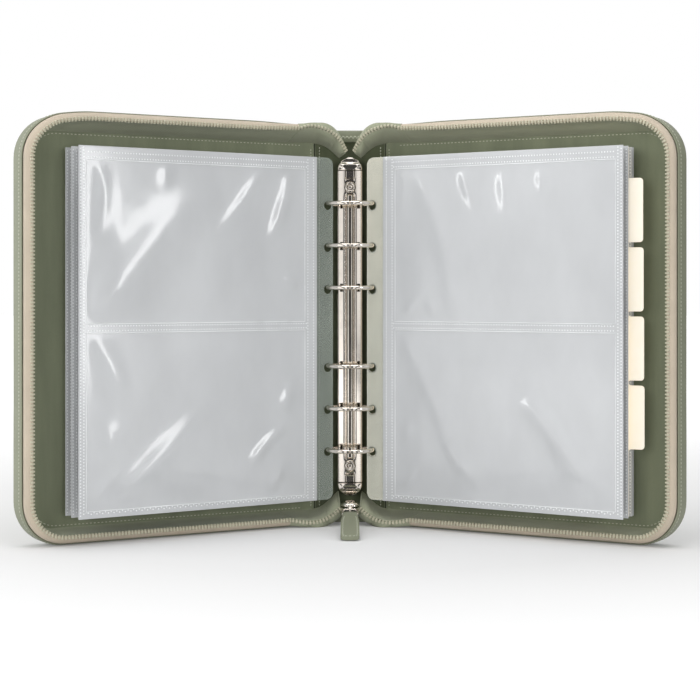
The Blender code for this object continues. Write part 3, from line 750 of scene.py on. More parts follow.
@dataclass(frozen=True)
class Groups:
    """The shader groups that the finishes share."""

    grain: NodeTree
    weave: NodeTree
    tone: NodeTree


def start_material(name: str) -> tuple[Material, NodeBench]:
    """A material with an empty tree, and its bench."""
    material = bpy.data.materials.new(name)
    material.use_nodes = True
    return material, NodeBench(material.node_tree)


@dataclass(frozen=True)
class Finish:
    """A named surface of one main colour."""

    name: str
    colour: Colour

    def build(self, groups: Groups) -> Material:
        """Make the material from the shared groups."""
        material, bench = start_material(self.name)
        self.paint(bench, groups, bench.add("TexCoord").outputs)
        return material

    def paint(self, bench: NodeBench, groups: Groups, where: dict) -> None:
        """Add the surface's nodes.

        Args:
            bench: the material's tree.
            groups: the shared shader groups.
            where: the texture coordinates, by name.
        """
        raise NotImplementedError

    def drift(self, bench: NodeBench, groups: Groups, where: object, scale: float, low: float,
              high: float) -> Node:
        """The tone group between two shares of the colour."""
        return bench.place(groups.tone, Vector=where, Scale=scale, Low=scaled(self.colour, low),
                           High=scaled(self.colour, high))


@dataclass(frozen=True)
class Leather(Finish):
    """Sage leather with a fine pebbled grain."""

    scale: float = 1900.0
    depth: float = 0.00010
    roughness: float = 0.47

    def paint(self, bench: NodeBench, groups: Groups, where: dict) -> None:
        """Pebbled grain, darker in its furrows."""
        tone = self.drift(bench, groups, where["Object"], 38.0, 0.93, 1.06)
        grain = bench.place(groups.grain, Vector=where["Object"], Scale=self.scale, Softness=0.8)
        dark = bench.times(grain.outputs["Furrows"], 0.22)
        bench.surface(Base_Color=bench.mix(dark, tone.outputs["Color"], scaled(self.colour, 0.62)),
                      Roughness=bench.raised(self.roughness, tone.outputs["Mask"], 0.1),
                      Specular_IOR_Level=0.42,
                      Normal=bench.bump(grain.outputs["Height"], self.depth, 0.75))


@dataclass(frozen=True)
class Cloth(Finish):
    """Woven cloth: zip tape, thread or the inner wall."""

    along: float
    across: float
    depth: float = 0.00012
    gap_tone: float = 0.72
    roughness: float = 0.82
    sheen: float = 0.15

    def paint(self, bench: NodeBench, groups: Groups, where: dict) -> None:
        """Woven threads, darker in the gaps between them."""
        tone = self.drift(bench, groups, where["Object"], 55.0, 0.94, 1.05)
        weave = bench.place(groups.weave, Vector=where["UV"], Along=2 * math.pi / self.along,
                            Across=2 * math.pi / self.across)
        share = bench.times(weave.outputs["Gaps"], 0.5)
        base = bench.mix(share, tone.outputs["Color"], scaled(self.colour, self.gap_tone))
        bench.surface(Base_Color=base, Roughness=self.roughness, Specular_IOR_Level=0.25,
                      Sheen_Weight=self.sheen,
                      Normal=bench.bump(weave.outputs["Height"], self.depth, 0.8))


@dataclass(frozen=True)
class Suede(Finish):
    """Soft napped lining with faint upright brushing."""

    roughness: float = 0.88
    sheen: float = 0.35

    def paint(self, bench: NodeBench, groups: Groups, where: dict) -> None:
        """Brushed drift of tone under a fine nap."""
        brushed = bench.add("Mapping", {"Vector": where["Object"], "Scale": (1.0, 1.0, 0.12)})
        tone = self.drift(bench, groups, brushed.outputs[0], 90.0, 0.88, 1.10)
        grain = bench.place(groups.grain, Vector=where["Object"], Scale=3200.0, Softness=1.2)
        dark = bench.times(grain.outputs["Furrows"], 0.35)
        bench.surface(Base_Color=bench.mix(dark, tone.outputs["Color"], scaled(self.colour, 0.62)),
                      Roughness=self.roughness, Specular_IOR_Level=0.2, Sheen_Weight=self.sheen,
                      Normal=bench.bump(grain.outputs["Height"], 0.00006, 0.6))


@dataclass(frozen=True)
class Metal(Finish):
    """Plated metal with faint polishing marks."""

    roughness: float
    marks: float = 0.00001
    metallic: float = 1.0

    def paint(self, bench: NodeBench, groups: Groups, where: dict) -> None:
        """Even metal with marks drawn along it."""
        tone = self.drift(bench, groups, where["Object"], 120.0, 0.94, 1.03)
        drawn = bench.add("Mapping", {"Vector": where["Object"], "Scale": (1.0, 1.0, 0.06)})
        scuffs = bench.add("TexNoise", {"Vector": drawn.outputs[0], "Scale": 2600.0,
                                        "Detail": 2.0})
        bench.surface(Base_Color=tone.outputs["Color"], Metallic=self.metallic,
                      Roughness=bench.raised(self.roughness, tone.outputs["Mask"], 0.06),
                      Normal=bench.bump(scuffs.outputs["Fac"], self.marks, 0.5))


@dataclass(frozen=True)
class Film(Finish):
    """Glossy welded film with cloudy scuffs."""

    haze: Colour
    cover: float
    roughness: float = 0.13
    grain: float = 0.10
    coat: float = 0.5

    def paint(self, bench: NodeBench, groups: Groups, where: dict) -> None:
        """Clouds that are hazier and less clear, on a gloss that wavers a little."""
        tilted = bench.add("Mapping", {"Vector": where["Object"], "Rotation": (0.0, 0.75, 0.0),
                                       "Scale": (1.0, 1.0, 0.55)})
        cloud = bench.place(groups.tone, Vector=tilted.outputs[0], Scale=17.0,
                            Low=scaled(self.colour, 1.0), High=scaled(self.haze, 1.0))
        fine = bench.add("TexNoise", {"Vector": tilted.outputs[0], "Scale": 420.0, "Detail": 3.0})
        bench.surface(Base_Color=cloud.outputs["Color"],
                      Roughness=bench.raised(self.roughness, cloud.outputs["Mask"], 0.08),
                      Alpha=bench.raised(self.cover, cloud.outputs["Mask"], 0.06),
                      Specular_IOR_Level=0.6, Coat_Weight=self.coat, Coat_Roughness=0.08,
                      Normal=bench.bump(fine.outputs["Fac"], 0.00003, self.grain))


@dataclass(frozen=True)
class Card(Finish):
    """Smooth ivory sheet or plain board, with a faint fibre.

    Emission paints light onto a thin sheet, lifting it as if lit through from behind.
    """

    painted_glow: float = 0.0
    roughness: float = 0.42
    coat: float = 0.2

    def paint(self, bench: NodeBench, groups: Groups, where: dict) -> None:
        """Even card with a fine fibre."""
        tone = self.drift(bench, groups, where["Object"], 150.0, 0.97, 1.02)
        fibre = bench.add("TexNoise", {"Vector": where["Object"], "Scale": 1500.0, "Detail": 4.0})
        # The emission is painted light: it brightens the sheet whatever the lamps do.
        bench.surface(Base_Color=tone.outputs["Color"], Roughness=self.roughness,
                      Coat_Weight=self.coat, Coat_Roughness=0.2,
                      Emission_Color=scaled(self.colour, 1.0), Emission_Strength=self.painted_glow,
                      Normal=bench.bump(fibre.outputs["Fac"], 0.00003, 0.3))


@dataclass(frozen=True)
class Finishes:
    """Every material of the organizer."""

    leather: Material
    thread: Material
    lining: Material
    fold: Material
    groove: Material
    tape: Material
    wall: Material
    nickel: Material
    teeth: Material
    film: Material
    weld: Material
    margin: Material
    card: Material
    board: Material

    @classmethod
    def make(cls) -> "Finishes":
        """Build the groups and then each finish from them."""
        groups = Groups(make_grain_group(), make_weave_group(), make_tone_group())
        recipes = {
            "leather": Leather("sage leather", linear(135, 139, 118)),
            "thread": Cloth("sage thread", linear(206, 208, 188), along=0.0009, across=0.0005),
            "lining": Suede("sage lining", linear(134, 140, 116)),
            # A darker copy of the sage lining: painted shade for the spine lining and crease strips,
            # which lie in shade.
            "fold": Suede("sage lining in the fold", linear(90, 96, 74)),
            # A near-black copy of the lining for the cord in the groove: painted shade.
            "groove": Suede("sewn-down groove", linear(64, 68, 52)),
            "tape": Cloth("cream zip tape", linear(200, 187, 168), along=0.0011, across=0.0013),
            "wall": Cloth("sage wall cloth", linear(163, 167, 143), along=0.0010, across=0.0011),
            "nickel": Metal("warm nickel", linear(246, 238, 228), roughness=0.07),
            "teeth": Metal("tooth metal", linear(188, 184, 162), roughness=0.5, marks=0.00002,
                           metallic=0.0),
            "film": Film("pocket film", linear(194, 196, 198), haze=linear(199, 201, 203),
                         cover=0.94),
            # A whiter film for the weld dots and the bead; on the bead the white is a painted
            # highlight.
            "weld": Film("welded film", linear(226, 229, 230), haze=linear(236, 238, 239),
                         cover=0.94, roughness=0.25),
            "margin": Film("margin film", linear(178, 188, 178), haze=linear(184, 193, 184),
                           cover=0.12, roughness=0.30, grain=0.0, coat=0.0),
            # The ivory sheet's emission is painted light that lifts the tabs.
            "card": Card("ivory sheet", linear(250, 242, 226), painted_glow=0.20),
            "board": Card("greyboard", linear(168, 163, 152), roughness=0.85, coat=0.0),
        }
        return cls(**{part: recipe.build(groups) for part, recipe in recipes.items()})


# Sub-assemblies


@dataclass(frozen=True)
class Station:
    """A place on a cover's edge."""

    u: float
    z: float
    inward: Flat

    def inset(self, distance: float) -> Flat:
        """The place a distance in from the edge, as (u, z)."""
        return self.u + self.inward[0] * distance, self.z + self.inward[1] * distance


@dataclass
class Edge:
    """The three open edges of a cover, walked from the top of the crease to its foot."""

    side: Side
    corner: float = LAYOUT.corner
    swell: float = 0.0031
    swell_near: float = 0.0018

    def stations(self, top_start: float, bottom_start: float, spacing: float) -> list[Station]:
        """Places along the edge.

        Args:
            top_start: u of the first place, on the top run.
            bottom_start: u of the last place, on the bottom run.
            spacing: way between places.

        Returns:
            The stations, from the top run round the fore edge.
        """
        far, high = LAYOUT.reach - self.corner, LAYOUT.height - self.corner
        return [*(Station(u, LAYOUT.height, (0.0, -1.0))
                  for u in spread(top_start, far, spacing)[:-1]),
                *self.turn(far, high, 90, 0, spacing),
                *(Station(LAYOUT.reach, z, (-1.0, 0.0))
                  for z in spread(high, self.corner, spacing)[1:-1]),
                *self.turn(far, self.corner, 0, -90, spacing),
                *(Station(u, 0.0, (0.0, 1.0)) for u in spread(far, bottom_start, spacing)[1:])]

    def turn(self, u: float, z: float, start: float, end: float, spacing: float) -> list[Station]:
        """Stations round one corner about (u, z), angles in degrees."""
        count = max(8, round(math.radians(90) * self.corner / spacing))
        result = []
        for k in range(count + 1):
            angle = math.radians(start + (end - start) * k / count)
            out = (math.cos(angle), math.sin(angle))
            result.append(Station(u + self.corner * out[0], z + self.corner * out[1],
                                  (-out[0], -out[1])))
        return result

    def lift(self, u: float, z: float, level: float) -> float:
        """How far the soft top run stands proud of the spine's height."""
        if z < LAYOUT.middle:
            return 0.0
        upper = smoothstep((z - LAYOUT.height + 0.03) / 0.018)
        along = 1.0 - smoothstep((u - 0.158) / 0.036)
        near = 1.0 - smoothstep((u - 0.020) / 0.035)
        body = self.swell * smoothstep((level - 0.006) / 0.008) * (1.0 - 0.25 * near)
        extra = self.swell_near * smoothstep((level - 0.015) / 0.003) * near
        return upper * along * (body + extra)

    def point(self, station: Station, inset: float, level: float) -> Vector:
        """World place of a point of the edge's section."""
        u, z = station.inset(inset)
        return LAYOUT.place(self.side, u, level, z + self.lift(station.u, z, level))

    def rows(self, stations: Sequence[Station],
             section: Callable[[Station], Sequence[Flat]]) -> list[Row]:
        """Rows of a section swept along stations."""
        return [[self.point(s, inset, level) for inset, level in section(s)] for s in stations]


@dataclass
class CoverShell:
    """A cover's leather tray with its turned-up stitched rim, and its lining."""

    side: Side
    finishes: Finishes
    round_radius: float = 0.0032
    base_inset: float = 0.0120
    rim_taper: float = 0.020
    rim_low: float = 0.0048
    stitch_level: float = 0.0106
    lining_inset: float = 0.0020
    groove_u: float = 0.0043
    seam_u: float = 0.0068
    seam_inset: float = 0.0098

    def rim_height(self, station: Station) -> float:
        """Height of the rim, lower where it runs out to the spine."""
        share = smoothstep((station.u - LAYOUT.crease_gap) / self.rim_taper)
        return self.rim_low + (LAYOUT.rim_height - self.rim_low) * share

    def section(self, station: Station) -> list[Flat]:
        """Closed section of the rim as (inset, level) pairs."""
        half, thick, top = LAYOUT.leather / 2, LAYOUT.rim_thickness, self.rim_height(station)
        radius = self.round_radius
        outside = [(self.base_inset, -half), (radius * 2, -half)]
        outside += arc((radius, radius - half), radius, -90, -180, 6)
        outside += [(0.0, top * 0.55), (0.0, top * 0.80), (0.0001, top - 0.0005)]
        outside += [(0.0003, top), (0.0006, top + 0.00015), (thick - 0.0003, top)]
        inner = radius - thick
        outside += [(thick, top - 0.0005), (thick, top * 0.55)]
        outside += arc((thick + inner, half + inner), inner, 180, 270, 4)
        outside.append((self.base_inset, half))
        return outside

    def tray(self, edge: Edge) -> Mesh:
        """The leather's rim and base in one mesh."""
        stations = edge.stations(LAYOUT.crease_gap, LAYOUT.crease_gap, 0.003)
        rim = rows_mesh("rim", edge.rows(stations, self.section), around=True, caps=True)
        outline = [s.inset(self.base_inset) for s in stations]
        base = outline_sheet("base", outline, LAYOUT.leather)
        lay(base, lambda u, z, level: LAYOUT.place(self.side, u, level, z))
        return join([rim, turned_out(base)], "tray")

    def lining_level(self, u: float, z: float) -> float:
        """Level of the lining's face, with soft hollows along its seams."""
        nap = noise.noise(Vector((u * 22, z * 22, 3.1 * self.side.value)))
        level = LAYOUT.lining_level + 0.00022 * nap
        level -= 0.0005 * math.exp(-((u - self.groove_u) / 0.0005) ** 2)
        level -= 0.00022 * math.exp(-((u - self.seam_u) / 0.0006) ** 2)
        level += 0.0010 * math.exp(-((u - self.groove_u - 0.0013) / 0.0007) ** 2)
        low = min(z, LAYOUT.height - z, LAYOUT.reach - u)
        level -= 0.00025 * math.exp(-((low - self.seam_inset) / 0.0009) ** 2)
        return level

    def lining(self) -> Mesh:
        """The lining panel as a soft closed sheet."""
        inset = self.lining_inset
        radius = LAYOUT.corner - inset
        far = LAYOUT.reach - LAYOUT.corner
        fine = [LAYOUT.crease_gap + 0.00025 * k for k in range(22)]
        steps = fine + spread(fine[-1] + 0.0015, far, 0.004)
        steps += [far + radius * math.sin(math.radians(a)) for a in range(6, 91, 6)]
        rows = []
        for u in steps:
            drop = 0.0
            if u > far:
                drop = radius - math.sqrt(max(0.0, radius ** 2 - (u - far) ** 2))
            low, high = inset + drop, LAYOUT.height - inset - drop
            heights = [low + (high - low) * (0.5 - 0.5 * math.cos(math.pi * k / 90))
                       for k in range(91)]
            face = [LAYOUT.place(self.side, u, self.lining_level(u, z), z) for z in heights]
            back = [LAYOUT.place(self.side, u, LAYOUT.lining_back, z) for z in reversed(heights)]
            rows.append(face + back)
        return rows_mesh("lining", rows, around=True, caps=True)

    def build(self) -> None:
        """Make and dress the cover's pieces."""
        word = self.side.word
        body = word + "_cover"
        edge = Edge(self.side)
        show(word + "_cover_shell", self.tray(edge), self.finishes.leather, body, "leather",
             [word + "_cover_leather"], 50)
        show(word + "_cover_lining_panel", self.lining(), self.finishes.lining, body, "lining",
             [word + "_cover_lining"])
        stations = edge.stations(0.012, 0.012, 0.0021)
        path = [edge.point(s, -0.00005, self.stitch_level) for s in stations]
        outward = [edge.point(s, -0.01, self.stitch_level) - edge.point(s, 0.0, self.stitch_level)
                   for s in stations]
        show(word + "_rim_stitching", RIM_SEAM.sew("rim stitches", path, lambda i: outward[i]),
             self.finishes.thread, body, "leather")
        self.lining_seams(body)

    def lining_seams(self, body: str) -> None:
        """The stitch rows that hold the lining down."""
        up = LAYOUT.place(self.side, 0, 1, 0) - LAYOUT.place(self.side, 0, 0, 0)
        path = [LAYOUT.place(self.side, self.seam_u, self.lining_level(self.seam_u, z) + 0.0001, z)
                for z in (0.010 + 0.0025 * k for k in range(90))]
        meshes = [CREASE_SEAM.sew("crease seam", path, lambda i: up)]
        # A dark cord along the groove's bottom: painted shadow for the shade in the sewn-down
        # groove.
        valley = [LAYOUT.place(self.side, self.groove_u, LAYOUT.lining_level - 0.0002, z)
                  for z in spread(0.004, LAYOUT.height - 0.004, 0.004)]
        show(self.side.word + "_lining_groove", tube("groove", valley, 0.0005, 8),
             self.finishes.groove, body, "lining")
        edge = Edge(self.side)
        stations = edge.stations(0.014, 0.014, 0.0025)
        path = [LAYOUT.place(self.side, *self.on_lining(s)) for s in stations]
        meshes.append(EDGE_SEAM.sew("edge seam", path, lambda i: up))
        show(self.side.word + "_lining_stitching", join(meshes, "lining stitches"),
             self.finishes.thread, body, "lining")

    def on_lining(self, station: Station) -> Place:
        """(u, level, z) of the lining seam beside an edge station."""
        u, z = station.inset(self.seam_inset)
        return u, self.lining_level(u, z) + 0.0001, z


@dataclass
class ZipHalf:
    """The cream tape, the cloth wall behind it and the teeth, with their two gussets."""

    side: Side
    finishes: Finishes
    top_start: float = 0.024
    bottom_start: float = 0.030
    pitch: float = 0.00205
    tape_thickness: float = 0.0007
    chain: Flat = (0.0049, 0.0187)
    tape_section: tuple[Flat, ...] = (
        (0.0016, 0.0085), (0.00155, 0.0130), (0.0011, 0.0142), (0.0011, 0.0155),
        (0.0017, 0.0168), (0.0027, 0.0178), (0.0039, 0.0185), (0.0052, 0.0188))
    wall_section: tuple[Flat, ...] = (
        (0.0057, 0.0181), (0.0059, 0.0165), (0.0062, 0.0130), (0.0066, 0.0095),
        (0.0073, 0.0060), (0.0080, 0.0040), (0.0086, 0.0032))
    top_chain: tuple[Place, ...] = (
        (0.0231, -0.0262, 0.2447), (0.0140, -0.0230, 0.2426), (0.0080, -0.0190, 0.2389),
        (0.0042, -0.0150, 0.2336), (0.0024, -0.0118, 0.2300))
    top_foot: tuple[Place, ...] = (
        (0.0265, -0.0070, 0.2362), (0.0180, -0.0040, 0.2352), (0.0125, -0.0038, 0.2322),
        (0.0090, -0.0040, 0.2290), (0.0065, -0.0050, 0.2268))
    top_hem: tuple[Place, ...] = (
        (0.0270, -0.0190, 0.2430), (0.0190, -0.0095, 0.2432), (0.0120, -0.0050, 0.2410),
        (0.0070, -0.0048, 0.2370), (0.0035, -0.0052, 0.2330))
    bottom_chain: tuple[Place, ...] = (
        (0.0290, -0.0300, 0.0034), (0.0215, -0.0280, 0.0030), (0.0150, -0.0253, 0.0046),
        (0.0098, -0.0228, 0.0076), (0.0056, -0.0195, 0.0108))
    bottom_foot: tuple[Place, ...] = (
        (0.0290, -0.0085, 0.0083), (0.0205, -0.0045, 0.0088), (0.0150, -0.0038, 0.0120),
        (0.0105, -0.0040, 0.0165), (0.0072, -0.0048, 0.0195))
    bottom_hem: tuple[Place, ...] = (
        (0.0290, -0.0230, 0.0010), (0.0205, -0.0130, 0.0008), (0.0140, -0.0080, 0.0018),
        (0.0090, -0.0100, 0.0035), (0.0050, -0.0130, 0.0060))

    def closed_section(self, section: Sequence[Flat],
                       thickness: float) -> list[Flat]:
        """Both faces of a section of a thin cloth, in one loop."""
        other = []
        for index, (inset, level) in enumerate(section):
            before = section[max(0, index - 1)]
            after = section[min(len(section) - 1, index + 1)]
            run, rise = after[0] - before[0], after[1] - before[1]
            size = math.hypot(run, rise)
            other.append((inset + rise / size * thickness, level - run / size * thickness))
        return list(section) + list(reversed(other))

    def clear_of_tabs(self, station: Station, inset: float, level: float) -> Flat:
        """The wall's place, moved out along the fore edge, where the tabs come when it shuts."""
        fore = -station.inward[0]
        return inset - 0.0020 * fore * min(1.0, max(0.0, (0.0181 - level) / 0.008)), level

    def tooth(self) -> list[list[Place]]:
        """Rings of a tooth as (along, inward, up) offsets."""
        rings = []
        for inward, along, low, high in ((-0.00135, 0.0004, -0.0004, 0.0003),
                                         (-0.0011, 0.00066, -0.0008, 0.00075),
                                         (0.0001, 0.00066, -0.0008, 0.00085),
                                         (0.0004, 0.0005, -0.0006, 0.00070),
                                         (0.0011, 0.0005, -0.0005, 0.00060),
                                         (0.0013, 0.0003, -0.0003, 0.0003)):
            cut = min(along, 0.0002)
            rings.append([(along, inward, low + cut), (along - cut, inward, low),
                          (cut - along, inward, low), (-along, inward, low + cut),
                          (-along, inward, high - cut), (cut - along, inward, high),
                          (along - cut, inward, high), (along, inward, high - cut)])
        return rings

    def teeth(self, path: Sequence[Vector], inward: Sequence[Vector]) -> Mesh:
        """Teeth at an even pitch along a path.

        Args:
            path: points on the chain's line.
            inward: direction across the chain at each point.

        Returns:
            All the teeth in one mesh.
        """
        work = bmesh.new()
        shape = self.tooth()
        for index, _, share in spaced(path, self.pitch):
            a, b = path[index], path[index + 1]
            along = (b - a).normalized()
            across = inward[index].lerp(inward[index + 1], share)
            across = (across - along * across.dot(along)).normalized()
            up = self.side.value * along.cross(across)
            place = a.lerp(b, share)
            rings = [[work.verts.new(place + along * x + across * y + up * z)
                      for x, y, z in ring] for ring in shape]
            bridge(work, rings)
            work.faces.new(rings[0])
            work.faces.new(list(reversed(rings[-1])))
        return finished(work, "teeth")

    def build(self) -> None:
        """Make and dress the cover's part and the two gussets."""
        word, body = self.side.word, self.side.word + "_cover"
        edge = Edge(self.side)
        stations = edge.stations(self.top_start, self.bottom_start, 0.0025)
        tape = self.closed_section(self.tape_section, self.tape_thickness)
        wall = self.closed_section(self.wall_section, 0.0006)
        show(word + "_tape", rows_mesh("tape", edge.rows(stations, lambda s: tape), True, True),
             self.finishes.tape, body, "tape", [word + "_zip_tape"], 70)
        show(word + "_wall", rows_mesh("wall", edge.rows(
            stations, lambda s: [self.clear_of_tabs(s, *place) for place in wall]), True, True),
            self.finishes.wall, body, "lining", [word + "_wall_lining"], 70)
        inset, level = self.chain
        path = [edge.point(s, inset, level) for s in stations]
        inward = [edge.point(s, inset + 0.001, level) - edge.point(s, inset, level)
                  for s in stations]
        show(word + "_teeth", self.teeth(path, inward), self.finishes.teeth, body, "metal",
             [word + "_zip_chain"], 30)
        self.gusset(edge, End.TOP, stations[0])
        self.gusset(edge, End.BOTTOM, stations[-1])

    def gusset(self, edge: Edge, end: End, start: Station) -> None:
        """The cloth and teeth that run on from the cover to the zip's end.

        Args:
            edge: the cover's edge.
            end: top or bottom.
            start: the station where the cover's part stops.
        """
        chain = [edge.point(start, *self.chain)]
        foot = [edge.point(start, *self.wall_section[-1])]
        hem = [edge.point(start, *self.tape_section[1])]
        for line, part in ((chain, "chain"), (foot, "foot"), (hem, "hem")):
            line += [Vector((self.side.value * x, y, z))
                     for x, y, z in getattr(self, "%s_%s" % (end.word, part))]
        steps = [k / 40 for k in range(41)]
        inward = [catmull(foot, t) - catmull(hem, t) for t in steps]
        if end is End.BOTTOM:
            inward = [Vector((0, 0, 0.01)) + v * 0.4 for v in inward]
        name = end.word + "_" + self.side.word
        tape = self.gusset_sheet(edge, start, hem, chain, self.tape_section[1:])
        wall = self.gusset_sheet(edge, start, foot, chain, self.wall_section[::-1])
        teeth = self.teeth([catmull(chain, t) for t in steps], inward)
        for part, mesh, finish, slot, replaced, sharp in (
                ("tape", tape, self.finishes.wall, "tape", (), 35),
                ("wall", wall, self.finishes.wall, "lining", [name + "_gusset"], 70),
                ("teeth", teeth, self.finishes.teeth, "metal", (), 30)):
            self.hang(dress("%s_fold_%s" % (name, part), mesh, finish, slot, replaced, sharp), end)

    def gusset_sheet(self, edge: Edge, start: Station, low: Sequence[Vector],
                     high: Sequence[Vector],
                     section: Sequence[Flat]) -> Mesh:
        """A cloth strip between two lines that keeps the cover's section where it starts."""
        base = [edge.point(start, inset, level) for inset, level in section]
        chord = base[-1] - base[0]
        shares, rises = [], []
        for point in base:
            share = (point - base[0]).dot(chord) / chord.length_squared
            shares.append(share)
            rises.append(point - base[0] - chord * share)
        steps = 48
        rows = []
        for k in range(steps + 1):
            t = k / steps
            bottom, top = catmull(low, t), catmull(high, t)
            top = top + (base[-1] - high[0]) * (1.0 - 0.4 * t)
            span = (top - bottom).length / chord.length
            pleat = 0.0036 * abs(math.sin(t * 9.5 + 0.4)) ** 0.7 * smoothstep(t * 2.5)
            row = []
            for share, rise in zip(shares, rises):
                out = Vector((0, -1, 0)) * pleat * math.sin(math.pi * min(1.0, max(0.0, share)))
                row.append(bottom.lerp(top, share) + rise * span * (1.0 - 0.5 * t) + out)
            rows.append(row)
        return sheet_mesh("fold", rows, self.tape_thickness)

    def hang(self, piece: Object, end: End) -> None:
        """Hand a gusset's piece to bend with its spine and cover places; it stays where it is built.
        """
        z = LAYOUT.height if end is End.TOP else 0.0
        inner = Vector((self.side.value * 0.0050, -0.0120, z))
        outer = LAYOUT.place(self.side, 0.020, 0.012, z)
        bend(piece, self.side.word + "_cover", inner, outer)


@dataclass
class Spine:
    """The spine's leather turn-ins, its lining and the bending strips beside it."""

    finishes: Finishes
    half: float = 0.0165
    hem_depth: float = 0.0073
    steps: int = 14

    def crease_row(self, side: Side, share: float, level: float) -> Flat:
        """Place in plan on the bent strip, from the spine at 0 to the cover at 1."""
        reach = LAYOUT.crease_gap
        start = LAYOUT.half_spine - reach
        turn = reach / math.tan(LAYOUT.angle / 2)
        angle = LAYOUT.angle * share
        x = start + (turn - level) * math.sin(angle)
        return side.value * x, (turn - level) * math.cos(angle) - turn

    def strip(self, side: Side, low_level: float, high_level: float, inset: float,
              face: Callable[[float, float], float] | None = None) -> Mesh:
        """A bent strip between two levels."""
        heights = spread(inset, LAYOUT.height - inset, 0.004)
        rows = []
        for k in range(self.steps + 1):
            share = k / self.steps
            row = []
            for z in heights:
                level = high_level + (face(share, z) if face else 0.0)
                row.append(Vector((*self.crease_row(side, share, level), z)))
            for z in reversed(heights):
                row.append(Vector((*self.crease_row(side, share, low_level), z)))
            rows.append(row)
        return rows_mesh("strip", rows, around=True, caps=True)

    def build(self, nodes: dict[str, Object]) -> None:
        """Make and dress the spine's pieces.

        Args:
            nodes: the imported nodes, of which the plain boards and the outer leather stay.
        """
        for name, finish in (("spine_leather", self.finishes.leather),
                             ("spine_board", self.finishes.board),
                             ("left_cover_board", self.finishes.board),
                             ("right_cover_board", self.finishes.board)):
            node = nodes[name]
            node.data.materials.clear()
            node.data.materials.append(finish)
        for side in Side:
            self.creases(side)
        # The spine lining takes the darker copy of the lining, which is painted shade.
        show("spine_lining_panel", self.lining(), self.finishes.fold, "spine", "lining",
             ["spine_lining"])
        for end in End:
            self.hem(end)

    def creases(self, side: Side) -> None:
        """The leather and the lining that bend beside one cover, with a stitch row."""
        word = side.word
        start = Vector((side.value * self.half, 0.0, LAYOUT.middle))
        stop = LAYOUT.place(side, LAYOUT.crease_gap, 0.0, LAYOUT.middle)
        leather = self.strip(side, -LAYOUT.leather / 2, LAYOUT.leather / 2, 0.0)
        lining = self.strip(side, LAYOUT.lining_back, LAYOUT.lining_level, 0.002,
                            lambda share, z: -0.0002 * math.exp(-((share - 0.5) / 0.1) ** 2))
        path = [Vector((*self.crease_row(side, 0.5, LAYOUT.lining_level), z))
                for z in spread(0.010, LAYOUT.height - 0.010, 0.0025)]
        seam = CREASE_SEAM.sew("spine seam", path, lambda i: FORWARD)
        # The crease lining strips take the darker copy of the lining, which is painted shade.
        for part, mesh, finish, slot, replaced in (
                ("skin", leather, self.finishes.leather, "leather", [word + "_crease_leather"]),
                ("lining_strip", lining, self.finishes.fold, "lining", [word + "_crease_lining"]),
                ("stitching", seam, self.finishes.thread, "lining", ())):
            piece = dress("%s_crease_%s" % (word, part), mesh, finish, slot, replaced)
            bend(piece, word + "_cover", start, stop)

    def lining(self) -> Mesh:
        """The lining over the spine board, soft between the creases."""
        rows = []
        heights = spread(0.002, LAYOUT.height - 0.002, 0.004)
        for x in spread(-self.half, self.half, 0.0015):
            face = []
            for z in heights:
                soft = 0.00012 * noise.noise(Vector((x * 60, z * 30, 1.7)))
                face.append(Vector((x, -LAYOUT.lining_level - soft, z)))
            rows.append(face + [Vector((x, -LAYOUT.lining_back, z)) for z in reversed(heights)])
        return rows_mesh("spine lining", rows, around=True, caps=True)

    def hem(self, end: End) -> None:
        """Leather turned in over one end of the spine, with its zigzag stitching."""
        mirror = (lambda z: z) if end is End.TOP else (lambda z: LAYOUT.height - z)
        top, low = LAYOUT.height, LAYOUT.height - self.hem_depth
        section = [(-0.0005, top - 0.004), (-0.0005, top - 0.0009), (-0.0002, top - 0.0003),
                   (0.0005, top), (0.0030, top), (0.0036, top - 0.0003), (0.0040, top - 0.001),
                   (0.0040, low + 0.0006), (0.0037, low), (0.0031, low),
                   (0.0031, top - 0.0016), (0.0006, top - 0.0012), (0.00051, top - 0.004)]
        rows = []
        for x in spread(-self.half + 0.0004, self.half - 0.0004, 0.002):
            rows.append([Vector((x, -level - 0.00002, mirror(z))) for level, z in section])
        show(end.word + "_spine_hem", rows_mesh("hem", rows, True, True), self.finishes.leather,
             "spine", "leather", (), 50)
        path = []
        for k in range(26):
            x = -self.half + 0.001 + k * (2 * self.half - 0.002) / 25
            z = low + 0.0030 + (0.0011 if k % 2 else -0.0011)
            path.append(Vector((x, -0.0041, mirror(z))))
        meshes = [HEM_SEAM.sew("zigzag", [a, b], lambda i: FORWARD)
                  for a, b in zip(path, path[1:])]
        show(end.word + "_hem_stitching", join(meshes, "zigzag"), self.finishes.thread, "spine",
             "leather")


